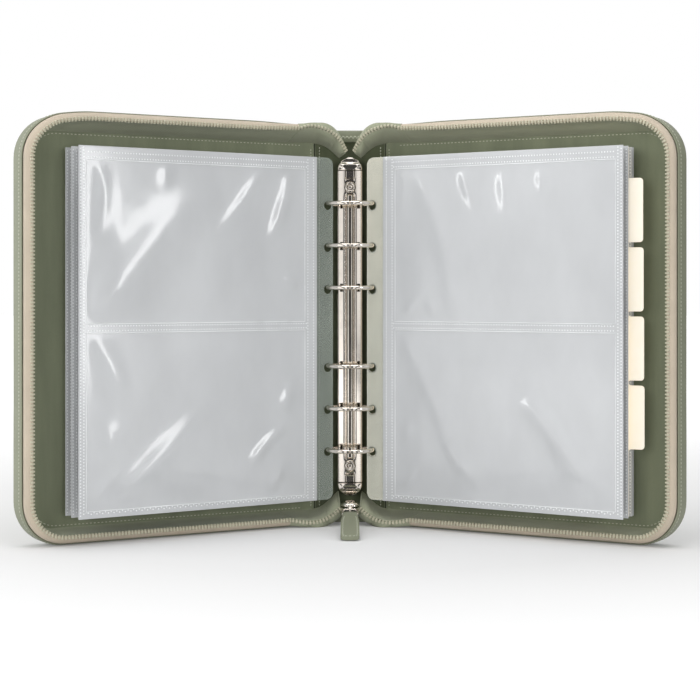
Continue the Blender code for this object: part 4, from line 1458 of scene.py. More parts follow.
@dataclass
class RingMechanism:
    """Arched plate, two blades with their half rings, end levers and rivets."""

    finishes: Finishes
    half_width: float = 0.0080
    length: float = 0.193
    base: float = 0.0032
    rise: float = 0.0060
    sheet: float = 0.0008
    crown: float = 0.16
    bead_half: float = 0.0021
    bead_rise: float = 0.0011
    channel_half: float = 0.0027
    channel_depth: float = 0.0011
    rivet_offset: float = 0.0863
    slot_height: float = 0.0050
    slot_inner: float = 0.0042
    slot_outer: float = 0.0062
    wire: float = 0.0013
    lever_lift: float = 0.0031
    lever_length: float = 0.0083
    hood_rise: float = 0.0059
    lip_rise: float = 0.0087

    def level(self, x: float, z: float) -> float:
        """Level of the plate's outside.

        Args:
            x: place across the plate.
            z: height.

        Returns:
            The level above the spine leather.
        """
        share = abs(x) / self.half_width
        edge = max(0.0, (share - 0.95) / 0.05)
        top = self.rise * (1.0 - self.crown * share * share)
        level = self.base + top * max(0.0, 1.0 - edge * edge) ** 0.5
        away = abs(z - LAYOUT.middle)
        middle = 1.0 - smoothstep((away - (self.rivet_offset - 0.0052)) / 0.0012)
        bead = max(0.0, 1.0 - (x / self.bead_half) ** 4) ** 0.5
        level += self.bead_rise * bead * middle
        beside = math.exp(-((abs(x) - self.bead_half * 1.15) / 0.0005) ** 2)
        level -= 0.0008 * beside * middle
        outer = smoothstep((away - (self.rivet_offset + 0.0044)) / 0.0008)
        channel = 1.0 - smoothstep((abs(x) - self.channel_half * 0.85) / (self.channel_half * 0.3))
        floor = self.base + self.rise - self.channel_depth
        level += (floor - level) * channel * outer
        for sign in (-1, 1):
            gap = math.hypot(x, z - LAYOUT.middle - sign * self.rivet_offset)
            if gap < 0.0055:
                seat = self.base + self.rise - 0.0001
                level += (min(level, seat) - level) * (1.0 - smoothstep((gap - 0.0039) / 0.0012))
        return level

    def plate(self) -> Mesh:
        """The arched plate with its bead, its channel ends and a slot for each ring."""
        across = sorted({round(s * x, 6) for s in (-1, 1) for x in (
            0.0, 0.0004, 0.0008, 0.0012, 0.0015, 0.0017, 0.0019, 0.0020, 0.0021, 0.0022, 0.0024,
            0.0027, 0.0031, 0.0036,
            self.slot_inner, 0.0048, 0.0054, self.slot_outer, 0.0067, 0.0071, 0.0074, 0.0076,
            0.0078, 0.00792, self.half_width)})
        low = LAYOUT.middle - self.length / 2
        heights = {round(z, 6) for z in spread(low, low + self.length, 0.0011)}
        for ring in LAYOUT.ring_heights():
            heights = {z for z in heights if abs(z - ring) > self.slot_height * 0.62}
            for share in (-0.5, -0.42, 0.0, 0.42, 0.5):
                heights.add(round(ring + share * self.slot_height, 6))
        heights = sorted(heights)
        rows = [[Vector((x, -self.level(x, z), z)) for x in across] for z in heights]
        work = bmesh.new()
        grid = [[work.verts.new(p) for p in row] for row in rows]
        for i in range(len(heights) - 1):
            z = (heights[i] + heights[i + 1]) / 2
            for j in range(len(across) - 1):
                x = abs(across[j] + across[j + 1]) / 2
                slot = self.slot_inner < x < self.slot_outer and any(
                    abs(z - ring) < self.slot_height / 2 for ring in LAYOUT.ring_heights())
                if not slot:
                    work.faces.new((grid[i][j], grid[i][j + 1], grid[i + 1][j + 1], grid[i + 1][j]))
        loose = [v for v in work.verts if not v.link_faces]
        bmesh.ops.delete(work, geom=loose, context="VERTS")
        return with_modifiers(finished(work, "plate", False),
                              lambda holder: add_solidify(holder, self.sheet, -1.0))

    def lever(self, end: End) -> Mesh:
        """An end lever: a domed hood with a broad lip to press."""
        count = 36
        along = [0.0, 0.00015, 0.0004, 0.0010, 0.0015, 0.0020, 0.0026, 0.0031, 0.0036, 0.0040,
                 0.0042, 0.0044, 0.0048, 0.0053, 0.0058, 0.0063, 0.0068, 0.0072, 0.0076, 0.0079,
                 0.0081, 0.0082, 0.00828]
        rows = []
        for a in along:
            row = []
            width = self.half_width * (1 - (a / self.lever_length) ** 2) ** 0.5
            for k in range(count + 1):
                turn = math.pi * k / count
                x = -width * math.cos(turn)
                rise = self.lever_rise(x, a)
                row.append(Vector((x, -self.lever_lift - rise, a)))
            row += [Vector((width * (1 - 2 * k / 8), -self.lever_lift, a)) for k in range(1, 8)]
            rows.append(row)
        mesh = rows_mesh("lever", rows, around=True, caps=True)
        start = LAYOUT.middle + self.length / 2 + 0.0003
        if end is End.BOTTOM:
            mesh.transform(Matrix.Diagonal((1, 1, -1, 1)))
            mesh.flip_normals()
            start = LAYOUT.middle - self.length / 2 - 0.0003
        mesh.transform(Matrix.Translation((0, -0.0029, start)))
        return mesh

    def lever_rise(self, x: float, a: float) -> float:
        """Height of a lever's outside above its lift.

        Args:
            x: place across the lever.
            a: way from the lever's inner edge to its round end.

        Returns:
            The height.
        """
        reach = math.hypot(x / self.half_width, a / self.lever_length)
        edge = min(1.0, max(0.0, (reach - 0.93) / 0.07))
        aside = abs(x / self.half_width)
        away = a / self.lever_length
        hood = self.hood_rise * (1.0 - 0.16 * aside ** 4 - 0.34 * away ** 2)
        hood *= (1.0 - edge * edge) ** 0.5
        lip = self.lip_rise * (1.0 - 0.14 * aside ** 3) - 0.06 * a
        lip -= 0.0006 if a < 0.0001 else 0.0
        lip *= (1.0 - edge * edge) ** 0.5
        oval = math.hypot(x / 0.0047, (a - 0.0021) / 0.0012)
        lip += 0.00030 * math.exp(-((oval - 1.0) / 0.25) ** 2)
        over = 1.0 - smoothstep((a - 0.0038) / 0.0007)
        return hood + (max(lip, hood) - hood) * over

    def rivet(self, z: float) -> Mesh:
        """A turned rivet with a dished middle."""
        profile = [(0.0004, 0.0001), (0.0009, 0.00015), (0.0014, 0.0004), (0.0018, 0.0009),
                   (0.0022, 0.0013), (0.0026, 0.0014), (0.0030, 0.0013), (0.0034, 0.0009),
                   (0.0036, 0.0004), (0.0036, 0.0), (0.0016, -0.0001), (0.0016, -0.0080),
                   (0.0004, -0.0080)]
        seat = self.base + self.rise + 0.0001
        turns = [2 * math.pi * k / 40 for k in range(40)]
        rows = [[Vector((radius * math.cos(t), -seat - rise, z + radius * math.sin(t)))
                 for t in turns] for radius, rise in profile]
        return rows_mesh("rivet", rows, around=True, caps=True)

    def half_rings(self, side: Side) -> Mesh:
        """Six half rings staked to one blade."""
        meshes = []
        start, stop = 30.0, 175.0
        for z in LAYOUT.ring_heights():
            path = []
            for k in range(33):
                angle = math.radians(start + (stop - start) * k / 32)
                path.append(Vector((side.value * LAYOUT.ring_radius * math.sin(angle),
                                    -LAYOUT.ring_level + LAYOUT.ring_radius * math.cos(angle), z)))
            tip = path[-1].y
            path += [Vector((side.value * 0.0006, tip, z)), Vector((side.value * 0.0003, tip, z)),
                     Vector((side.value * 0.00012, tip, z))]
            radii = [self.wire] * (len(path) - 2) + [self.wire * 0.93, self.wire * 0.7]
            meshes.append(tube("half ring", path, self.wire, 18, radii=radii))
        low = LAYOUT.middle - self.length / 2 + 0.001
        rows = []
        for x, level in ((0.00015, 0.0055), (0.0030, 0.0050), (0.0066, 0.0040)):
            rows.append([Vector((side.value * x, -level, z))
                         for z in spread(low, LAYOUT.height - low, 0.008)])
        meshes.append(sheet_mesh("blade", rows, 0.0008))
        return join(meshes, "half rings")

    def build(self) -> None:
        """Make and dress the mechanism."""
        nickel = self.finishes.nickel
        show("arched_plate", self.plate(), nickel, "spine", "metal", ["ring_plate"], 40)
        for side in Side:
            show(side.word + "_half_rings", self.half_rings(side), nickel,
                 side.word + "_ring_half", "metal", [side.word + "_rings"], 40)
        for end in End:
            show(end.word + "_press_lever", self.lever(end), nickel, end.word + "_lever", "metal",
                 [end.word + "_lever"], 60)
            z = LAYOUT.middle + end.value * self.rivet_offset
            show(end.word + "_dished_rivet", self.rivet(z), nickel, "spine", "metal",
                 [end.word + "_rivet"], 50)


@dataclass
class LeafPlace:
    """Where a leaf hangs: its angle and its place on the ring, in degrees."""

    side: Side
    angle: float
    ring_place: float

    def point(self, s: float, z: float, forward: float) -> Vector:
        """World place of a point of the leaf.

        Args:
            s: way from the hole line.
            z: height.
            forward: way out of the leaf towards the reader.

        Returns:
            The point.
        """
        turn, lean = math.radians(self.ring_place), math.radians(self.angle)
        side = self.side.value
        x = side * (LAYOUT.ring_radius * math.cos(turn) + s * math.cos(lean)
                    - forward * math.sin(lean))
        y = -LAYOUT.ring_level - LAYOUT.ring_radius * math.sin(turn)
        return Vector((x, y - s * math.sin(lean) - forward * math.cos(lean), z))

    def sheet(self, name: str, outline: Sequence[Flat], thickness: float,
              steps: int) -> Mesh:
        """A punched sheet in its place.

        Args:
            name: name of the mesh.
            outline: (s, z) points round it.
            thickness: its thickness.
            steps: steps round each hole, less one.

        Returns:
            The mesh, with cuts across it where it could bend.
        """
        mesh = outline_sheet(name, outline, thickness,
                             LAYOUT.hole_rings(LAYOUT.hole_radius, steps))
        cross_cut(mesh, spread(BEND_START, BEND_END, BEND_STEP))
        lay(mesh, self.point)
        return mesh

    def hang(self, piece: Object, body: str) -> None:
        """Hand a sheet to bend with the places of its holes and its leaf; it stays where it is
        built.
        """
        bend(piece, body, self.point(BEND_START, LAYOUT.middle, 0.0),
             self.point(BEND_END, LAYOUT.middle, 0.0))


@dataclass(frozen=True)
class Crease:
    """A soft ridge that the film folds into, along a curve through three (s, z) points."""

    start: Flat
    middle: Flat
    end: Flat
    width: float
    height: float

    @classmethod
    def tenths(cls, *sizes: int) -> "Crease":
        """A crease typed in tenths of a millimetre, with its height in hundredths."""
        a, b, c, d, e, f, width = (size / 10000 for size in sizes[:7])
        return cls((a, b), (c, d), (e, f), width, sizes[7] / 100000)

    def line(self) -> list[Flat]:
        """Points along the ridge."""
        steps = 8
        bow = [2 * m - (a + b) / 2 for a, m, b in zip(self.start, self.middle, self.end)]
        points = []
        for k in range(steps + 1):
            t = k / steps
            points.append(tuple((1 - t) ** 2 * a + 2 * t * (1 - t) * c + t * t * b
                                for a, c, b in zip(self.start, bow, self.end)))
        return points

    def lift(self, line: Sequence[Flat], s: float, z: float) -> float:
        """Height of the ridge at a point.

        Args:
            line: the ridge's points.
            s: way from the hole line.
            z: height.

        Returns:
            The height above the film around it.
        """
        reach = self.width * 3
        lows, highs = [min(c) - reach for c in zip(*line)], [max(c) + reach for c in zip(*line)]
        if not (lows[0] < s < highs[0] and lows[1] < z < highs[1]):
            return 0.0
        best, where = reach, 0.0
        for index, ((s0, z0), (s1, z1)) in enumerate(zip(line, line[1:])):
            run, rise = s1 - s0, z1 - z0
            share = ((s - s0) * run + (z - z0) * rise) / (run * run + rise * rise)
            share = min(1.0, max(0.0, share))
            gap = math.hypot(s - s0 - share * run, z - z0 - share * rise)
            if gap < best:
                best, where = gap, (index + share) / (len(line) - 1)
        taper = math.sin(math.pi * (0.04 + 0.92 * where)) ** 0.7
        return self.height * taper * math.exp(-0.5 * (best / self.width) ** 2)


@dataclass
class PocketLeaf:
    """A welded pocket page with two pockets, its punched margin and its weld dots."""

    name: str
    place: LeafPlace
    finishes: Finishes
    creases: tuple[Crease, ...] = ()
    flat: bool = False
    step: float = 0.0035
    puff: float = 0.0012
    seed: int = 0
    low: float = LAYOUT.leaf_low
    high: float = LAYOUT.leaf_high
    near: float = 0.0080
    far: float = 0.1694
    seam: float = 0.1229
    outer_weld: float = 0.0048
    inner_weld: float = 0.0090
    top_weld: float = 0.0078
    bottom_weld: float = 0.0040
    mid_weld: float = 0.0026
    half: float = 0.00030
    dot_pitch: float = 0.0018

    def puffed(self, s: float, z: float) -> float:
        """How far the film's face stands out at a point."""
        across = min((s - self.near - self.inner_weld), (self.far - self.outer_weld - s))
        if z > self.seam:
            upright = min(z - self.seam - self.mid_weld, self.high - self.top_weld - z)
        else:
            upright = min(self.seam - self.mid_weld - z, z - self.low - self.bottom_weld)
        inside = smoothstep(across / 0.022) * smoothstep(upright / 0.022)
        if inside <= 0.0:
            return self.half
        turned = Vector((s * 0.8 + z * 0.6, z * 0.8 - s * 0.6, self.seed * 3.7))
        crease = noise.noise(Vector((turned.x * 11, turned.y * 34, turned.z)))
        slow = noise.noise(Vector((s * 12, z * 12, turned.z + 9.0)))
        fine = noise.noise(Vector((turned.x * 30, turned.y * 80, turned.z + 4.0)))
        body = 0.60 + 0.24 * slow + 0.10 * crease + 0.03 * fine
        near_weld = smoothstep(across / 0.007) * smoothstep(upright / 0.007)
        folds = sum(c.lift(line, s, z) for c, line in self.lines)
        return self.half + self.puff * inside * body + near_weld * folds

    @cached_property
    def lines(self) -> list[tuple[Crease, list[Flat]]]:
        """Each crease with the points along it."""
        return [(crease, crease.line()) for crease in self.creases]

    def grid(self) -> tuple[list[float], list[float]]:
        """The s and z lines of the film's mesh, finer at the welds."""
        across = [self.near, self.near + 0.0008, self.near + 0.003, self.near + self.inner_weld]
        across += spread(across[-1] + 0.0015, self.far - self.outer_weld - 0.0015, self.step)
        across += [self.far - self.outer_weld, self.far - 0.0022, self.far - 0.0006, self.far]
        upright = [self.low, self.low + 0.0006, self.low + self.bottom_weld]
        upright += spread(upright[-1] + 0.0015, self.seam - self.mid_weld - 0.0015, self.step)
        upright += [self.seam - self.mid_weld, self.seam, self.seam + self.mid_weld]
        upright += spread(self.seam + self.mid_weld + 0.0015, self.high - self.top_weld - 0.0015,
                          self.step)
        upright += [self.high - self.top_weld, self.high - 0.003, self.high - 0.0006, self.high]
        return across, upright

    def film(self) -> Mesh:
        """Front and back film, closed round their welded edge."""
        across, upright = self.grid()
        work = bmesh.new()
        faces = {}
        last_s, last_z = len(across) - 1, len(upright) - 1
        for sign in (1, -1):
            for i, s in enumerate(across):
                for j, z in enumerate(upright):
                    rim = i in (0, last_s) or j in (0, last_z)
                    out = self.puffed(s, z)
                    if sign < 0:
                        out = -(self.half + (out - self.half) * 0.12)
                    if rim:
                        out = sign * self.half * 0.45
                    faces[(sign, i, j)] = work.verts.new(self.place.point(s, z, out))
            for i in range(last_s):
                for j in range(last_z):
                    work.faces.new((faces[(sign, i, j)], faces[(sign, i + 1, j)],
                                    faces[(sign, i + 1, j + 1)], faces[(sign, i, j + 1)]))
        ring = [(i, 0) for i in range(last_s)] + [(last_s, j) for j in range(last_z)]
        ring += [(last_s - i, last_z) for i in range(last_s)]
        ring += [(0, last_z - j) for j in range(last_z)]
        for here, there in zip(ring, ring[1:] + ring[:1]):
            work.faces.new((faces[(1, *here)], faces[(1, *there)], faces[(-1, *there)],
                            faces[(-1, *here)]))
        return finished(work, "film")

    def dot_places(self) -> list[Flat]:
        """(s, z) of every weld dot."""
        places = []
        heights = spread(self.low + 0.002, self.high - 0.002, self.dot_pitch)
        for z in heights:
            places += [(self.far - 0.0012, z), (self.far - 0.0032, z + self.dot_pitch / 2)]
            places += [(self.near + 0.0026, z), (self.near + 0.0068, z)]
        for number, s in enumerate(spread(self.near + 0.008, self.far - 0.006, self.dot_pitch)):
            places += [(s, self.high - 0.0035), (s, self.high - 0.0065)]
            places += [(s, self.seam - 0.0013), (s, self.seam + 0.0013)]
            places.append((s, self.low + (0.0026 if number % 2 else 0.0034)))
        return places

    def welds(self) -> Mesh:
        """Raised weld dots and the smooth bead beside the pockets, in a whiter film; the bead's
        white is a painted highlight along the pocket's edge.
        """
        work = bmesh.new()
        for s, z in self.dot_places():
            base = self.half * 0.75
            rings = []
            for radius, lift in ((0.00054, 0.0), (0.00042, 0.00012), (0.00020, 0.00018)):
                rings.append([work.verts.new(self.place.point(
                    s + radius * math.cos(k * math.pi / 3), z + radius * math.sin(k * math.pi / 3),
                    base + lift)) for k in range(6)])
            bridge(work, rings)
            work.faces.new(rings[-1])
            work.faces.new(rings[0])
        meshes = [finished(work, "dots")]
        s0, s1 = self.near + self.inner_weld, self.far - self.outer_weld
        spans = ((self.seam + self.mid_weld, self.high - self.top_weld),
                 (self.low + self.bottom_weld, self.seam - self.mid_weld))
        for low, high in spans:
            path = [self.place.point(s, z, self.half) for s, z in
                    ((s0, low), (s1, low), (s1, high), (s0, high))]
            dense = []
            for a, b in zip(path, path[1:] + path[:1]):
                dense += [a.lerp(b, k / 12) for k in range(12)]
            meshes.append(tube("bead", dense, 0.00026, 6, closed=True))
        return join(meshes, "welds")

    def margin(self) -> Mesh:
        """The punched strip beside the pockets."""
        inner = self.near + 0.0002
        outline = [(inner, self.low), (inner, self.high), *LAYOUT.hole_edge(10)]
        meshes = [self.place.sheet("margin", outline, 0.00035, 31)]
        for ring in LAYOUT.hole_rings(0.0030, 31):
            path = [self.place.point(s, z, 0.00012) for s, z in ring]
            meshes.append(tube("hole rim", path, 0.00022, 6, closed=True))
        return turned_out(join(meshes, "margin"))

    def build(self) -> None:
        """Make and dress the leaf's pieces."""
        show(self.name + "_film", self.film(), self.finishes.film, self.name, "film",
             [self.name], 60)
        show(self.name + "_welds", self.welds(), self.finishes.weld, self.name, "film", (), 60)
        strip = dress(self.name + "_strip", self.margin(), self.finishes.margin, "margin",
                      [self.name + "_margin"], 40)
        if self.flat:
            mount(strip, self.name)
        else:
            self.place.hang(strip, self.name)


@dataclass
class TabDivider:
    """A tabbed sheet behind the right-hand leaves."""

    number: int
    place: LeafPlace
    finishes: Finishes
    far: float = 0.1679
    reach: float = 0.0095
    first_drop: float = 0.0181
    step: float = 0.0391
    tab_height: float = 0.0362
    corner: float = 0.0020
    sweep: float = 0.0014

    def outline(self) -> list[Flat]:
        """Outline of the sheet with its round-cornered tab."""
        top = LAYOUT.leaf_high - self.first_drop - (self.number - 1) * self.step
        low, tip = top - self.tab_height, self.far + self.reach
        points = LAYOUT.hole_edge(8)
        points += [(self.far, LAYOUT.leaf_low), (self.far, low - self.sweep)]
        points += arc((self.far + self.sweep, low - self.sweep), self.sweep, 180, 90, 5)[1:]
        points += arc((tip - self.corner, low + self.corner), self.corner, -90, 0, 6)
        points += arc((tip - self.corner, top - self.corner), self.corner, 0, 90, 6)
        points += arc((self.far + self.sweep, top + self.sweep), self.sweep, 270, 180, 5)
        points.append((self.far, LAYOUT.leaf_high))
        return points

    def build(self) -> None:
        """Make and dress the divider."""
        sheet = self.place.sheet("divider", self.outline(), 0.0003, 23)
        name = "divider_%d" % self.number
        piece = dress(name + "_sheet", sheet, self.finishes.card, "card", [name])
        self.place.hang(piece, name)


@dataclass
class ZipPull:
    """The slider at the spine's foot, its wire loop and the stitched leather tab."""

    finishes: Finishes
    centre: Place = (0.0, -0.0203, 0.0118)
    half_width: float = 0.0055
    half_length: float = 0.0066
    tab_thickness: float = 0.0022
    neck: float = 0.0043
    tab_half: float = 0.0055
    tab_length: float = 0.0500
    loop_start: Place = (0, -0.027397, 0.01044)
    loop_half: float = 0.0047
    loop_radius: float = 0.0018
    bar: Place = (0, -0.038397, 0.00924)

    def shield(self, scale: float, steps: int = 48) -> list[Flat]:
        """Outline of a slider plate: rounded nose, squarer shoulders."""
        points = []
        for k in range(steps):
            turn = 2 * math.pi * k / steps
            c, s = math.cos(turn), math.sin(turn)
            power = 0.62 if s > 0 else 0.85
            x = self.half_width * math.copysign(abs(c) ** power, c)
            y = self.half_length * math.copysign(abs(s) ** power, s)
            points.append((x * scale, y * scale))
        return points

    def slider(self) -> Mesh:
        """Two domed plates on a post, with a raised seam and a bail."""
        cx, cy, cz = self.centre
        meshes = []
        for sign, crown in ((1, 0.0026), (-1, 0.0016)):
            rows = []
            for scale, lift in ((0.02, crown), (0.2, crown * 0.98), (0.4, crown * 0.9),
                                (0.6, crown * 0.76), (0.78, crown * 0.53), (0.9, crown * 0.28),
                                (0.975, 0.0), (1.0, -0.0005), (0.99, -0.0009), (0.9, -0.0010),
                                (0.3, -0.0010), (0.02, -0.0010)):
                row = []
                for x, y in self.shield(scale):
                    seam = 0.0 if lift < 0 else 0.00035 * math.exp(-(x / 0.00055) ** 2)
                    row.append(Vector((cx + x, cy + y, cz + sign * (0.0014 + lift - seam))))
                rows.append(row)
            meshes.append(rows_mesh("plate", rows, around=True, caps=True))
        post = [[Vector((cx + x * 0.42, cy + 0.002 + y * 0.5, cz + level))
                 for x, y in self.shield(1.0, 24)] for level in (-0.0012, 0.0012)]
        meshes.append(rows_mesh("post", post, around=True, caps=True))
        bail = [Vector((0, cy - self.half_length * 0.55, cz + 0.0031)),
                Vector((0, cy - self.half_length * 0.95, cz + 0.0024)),
                Vector((0, -0.0283, 0.0118)), Vector((0, -0.0292, 0.0104)),
                Vector((0, -0.0282, 0.0091)), Vector((0, cy - self.half_length * 0.9, cz - 0.0026))]
        path = [catmull(bail, k / 24) for k in range(25)]
        meshes.append(tube("bail", path, 0.0008, 10))
        return join(meshes, "slider")

    def loop(self) -> Mesh:
        """The rounded wire loop between the bail and the tab."""
        start, radius = Vector(self.loop_start), self.loop_radius
        run, across = Vector(self.bar) - start, self.loop_half - radius
        right = arc((across, radius), radius, 0, -90, 6)[::-1]
        right += arc((across, run.length - radius), radius, 0, 90, 6)
        path = [start + run.normalized() * y + Vector((x, 0, 0))
                for x, y in right + [(-x, y) for x, y in reversed(right)]]
        return tube("loop", path, 0.0006, 10, closed=True)

    def tab_frame(self, x: float, s: float, lift: float) -> Vector:
        """World place of a point of the tab, s along it and lift out of it."""
        drop = self.bar[2] - self.tab_thickness / 2 - 0.0003
        slope = math.asin(drop / self.tab_length)
        return Vector(self.bar) + Vector((x, -s * math.cos(slope) - lift * math.sin(slope),
                                          -s * math.sin(slope) + lift * math.cos(slope)))

    def tab_outline(self, inset: float = 0.0) -> list[Flat]:
        """Outline of the tab as (x, s) pairs."""
        end, radius = self.tab_half - inset, 0.0030
        neck = self.neck - inset
        points = [(neck, -0.0009), (neck, 0.003), (neck + 0.0004, 0.008), (end, 0.0175)]
        points += arc((end - radius, self.tab_length - radius - inset), radius, 0, 90, 8)
        return points + [(-x, s) for x, s in reversed(points)]

    def tab(self) -> Mesh:
        """The folded leather tab with soft edges."""
        sheet = outline_sheet("tab", self.tab_outline(), self.tab_thickness)
        sheet = with_modifiers(sheet, lambda holder: add_bevel(holder, 0.00055, 4, 50))

        def place(x: float, s: float, lift: float) -> Vector:
            """The leather's place, pinched at the stitches and full round the wire."""
            pinch = 1.0 - 0.22 * math.exp(-((s - 0.0065) / 0.0035) ** 2)
            swell = 1.0 + 0.25 * math.exp(-((s + 0.0002) / 0.0016) ** 2)
            return self.tab_frame(x, s, lift * pinch * swell)
        lay(sheet, place)
        return turned_out(sheet)

    def tab_stitches(self) -> Mesh:
        """The stitching that runs round the tab's open edges."""
        inset = 0.0013
        outline = self.tab_outline(inset)
        half = len(outline) // 2
        path = [self.tab_frame(x, max(s, 0.006), self.tab_thickness / 2 + 0.00002)
                for x, s in outline[2:half] + outline[half:-2]]
        up = self.tab_frame(0, 0, 1) - self.tab_frame(0, 0, 0)
        return TAB_SEAM.sew("tab stitches", path, lambda i: up)

    def build(self) -> None:
        """Make and dress the slider, the loop and the tab."""
        show("parked_slider", self.slider(), self.finishes.nickel, "spine", "metal",
             ["zip_slider"], 40)
        show("wire_loop", self.loop(), self.finishes.nickel, "pull_loop", "metal",
             ["pull_loop"], 50)
        show("leather_pull", self.tab(), self.finishes.leather, "pull_tab", "leather",
             ["pull_tab"], 60)
        show("pull_stitching", self.tab_stitches(), self.finishes.thread, "pull_tab", "leather")


@dataclass
class Studio:
    """Floor, backdrop, lamps and camera."""

    focal: float = 1800.0
    sensor: float = 36.0
    frame: int = 700
    horizon: float = 290.0
    distance: float = 1.1249
    eye: float = 0.1446
    floor_tone: float = 0.70
    lift: float = 0.09
    far_lift: float = 0.74
    world: float = 0.88
    side_dark: float = 0.15
    front_dark: float = 0.06
    sector: Flat = (0.17, 0.26)
    band: Flat = (0.05, 0.10)
    band_middle: float = 0.53
    fade: Flat = (0.2, 1.3)
    floor_right: Flat = (0.22, 0.50)
    floor_shade: float = 0.65
    world_right: Flat = (0.45, 0.80)
    world_back: Flat = (-0.3, 0.1)
    lit: Place = (0, -0.05, 0.12)

    def build(self) -> None:
        """Set the whole stage."""
        self.make_floor()
        self.make_world()
        self.make_lamps()
        self.make_camera()
        bpy.context.scene.view_settings.view_transform = "Standard"

    def white_to_eye(self, bench: NodeBench) -> NodeSocket:
        """A mask that is 1 where the camera, a reflection or a clear film sees it."""
        path = bench.add("LightPath")
        seen = bench.math("MAXIMUM", path.outputs["Is Camera Ray"], path.outputs["Is Glossy Ray"])
        return bench.math("MAXIMUM", seen, path.outputs["Is Transmission Ray"])

    def dark_bands(self, bench: NodeBench, aside: NodeSocket) -> NodeSocket:
        """The dark gaps between the studio's white panels, that metal shows.

        Args:
            bench: the tree to add to.
            aside: how far to the side of straight ahead a place is.

        Returns:
            A mask, dark in the gaps and 1 on the panels.
        """
        off = bench.math("ABSOLUTE", bench.math("SUBTRACT", aside, self.band_middle))
        return bench.math("MINIMUM", bench.range(aside, *self.sector, self.front_dark),
                          bench.range(off, *self.band, self.front_dark))

    def make_floor(self) -> None:
        """A wide pale floor that keeps the object's shadow."""
        mesh = rows_mesh("floor", [[Vector((x, y, 0.0)) for y in spread(-4.0, 9.0, 1.0)]
                                   for x in spread(-6.0, 6.0, 1.0)])
        material, bench = start_material("studio floor")
        where = bench.add("TexCoord").outputs["Object"]
        x, y = bench.add("SeparateXYZ", {0: where}).outputs[:2]
        seen = bench.add("LightPath").outputs
        ahead = bench.math("MAXIMUM", bench.times(y, -1.0), 0.01)
        aside = bench.math("DIVIDE", bench.math("ABSOLUTE", x), ahead)
        gap = bench.rest(self.dark_bands(bench, aside))
        right = bench.range(x, *self.floor_right, 0.0, self.floor_shade)
        unseen = bench.rest(seen["Is Camera Ray"])
        shade = bench.times(bench.rest(bench.times(gap, seen["Is Glossy Ray"])),
                            bench.rest(bench.times(right, unseen)))
        away = bench.add("VectorMath", {0: where}, operation="LENGTH").outputs["Value"]
        pale = bench.range(away, *self.fade, self.lift, self.far_lift)
        lift = bench.times(bench.times(self.white_to_eye(bench), pale), shade)
        tone = bench.times(shade, self.floor_tone)
        colour = bench.add("CombineXYZ", {0: tone, 1: tone, 2: tone}).outputs[0]
        bench.surface(Base_Color=colour, Roughness=0.9, Specular_IOR_Level=0.0,
                      Emission_Color=(1.0, 1.0, 1.0, 1.0), Emission_Strength=lift)
        mesh.materials.append(material)
        floor = bpy.data.objects.new("studio_floor", mesh)
        floor.location.z = -0.0002
        bpy.context.scene.collection.objects.link(floor)

    def make_world(self) -> None:
        """A soft grey surround that the camera sees as white."""
        world = bpy.data.worlds.new("studio")
        world.use_nodes = True
        bpy.context.scene.world = world
        bench = NodeBench(world.node_tree)
        x, y = bench.add("SeparateXYZ", {0: bench.add("TexCoord").outputs["Generated"]}).outputs[:2]
        right = bench.range(x, *self.world_right, 1.0, self.side_dark)
        beside = self.dark_bands(bench, bench.math("ABSOLUTE", x))
        front = bench.math("MAXIMUM", beside, bench.range(y, *self.world_back))
        around = bench.times(bench.times(right, front), self.world)
        camera = bench.add("LightPath").outputs["Is Camera Ray"]
        strength = bench.math("ADD", around, bench.times(camera, bench.rest(around)))
        back = bench.add("Background", {"Color": (1.0, 1.0, 1.0, 1.0), "Strength": strength})
        bench.tree.links.new(back.outputs[0], bench.add("OutputWorld").inputs[0])

    def lamp(self, name: str, place: Place, size: Flat,
             power: float, mirrored_by_metal: bool = True) -> None:
        """Add one soft lamp that faces the organizer.

        Args:
            name: name of the lamp.
            place: where it stands.
            size: width and height of its face.
            power: its power in watts.
            mirrored_by_metal: False for a lamp that gives light but no reflection.
        """
        data = bpy.data.lights.new(name, "AREA")
        data.shape = "RECTANGLE"
        data.size, data.size_y = size
        data.energy = power
        lamp = bpy.data.objects.new(name, data)
        bpy.context.scene.collection.objects.link(lamp)
        lamp.location = place
        lamp.rotation_mode = "QUATERNION"
        way = Vector(self.lit) - Vector(place)
        lamp.rotation_quaternion = way.to_track_quat("-Z", "Y")
        lamp.visible_glossy = mirrored_by_metal

    def make_lamps(self) -> None:
        """The lamps of the studio."""
        self.lamp("key_left", (-0.62, -1.35, 0.36), (0.60, 0.60), 4.7, False)
        self.lamp("fill_right", (0.66, -1.40, 0.22), (0.70, 0.40), 4.7, False)
        self.lamp("rim_left", (-1.25, 0.15, 0.45), (0.40, 0.80), 3.0)
        self.lamp("strip_left", (-1.20, -0.40, 0.42), (0.08, 0.95), 1.8)
        self.lamp("strip_right", (1.20, -0.86, 0.42), (0.12, 0.95), 2.6)
        self.lamp("top", (0.0, -0.35, 1.40), (1.40, 1.00), 8.6)

    def make_camera(self) -> None:
        """The camera of the photograph."""
        data = bpy.data.cameras.new("camera")
        data.sensor_width = self.sensor
        data.lens = self.sensor * self.focal / self.frame
        data.shift_y = (self.horizon - self.frame / 2) / self.frame
        data.clip_start, data.clip_end = 0.05, 50.0
        data.dof.use_dof = False
        camera = bpy.data.objects.new("camera", data)
        camera.location = (0.0, -self.distance, self.eye)
        camera.rotation_euler = (math.radians(90), 0.0, 0.0)
        bpy.context.scene.collection.objects.link(camera)
        bpy.context.scene.camera = camera


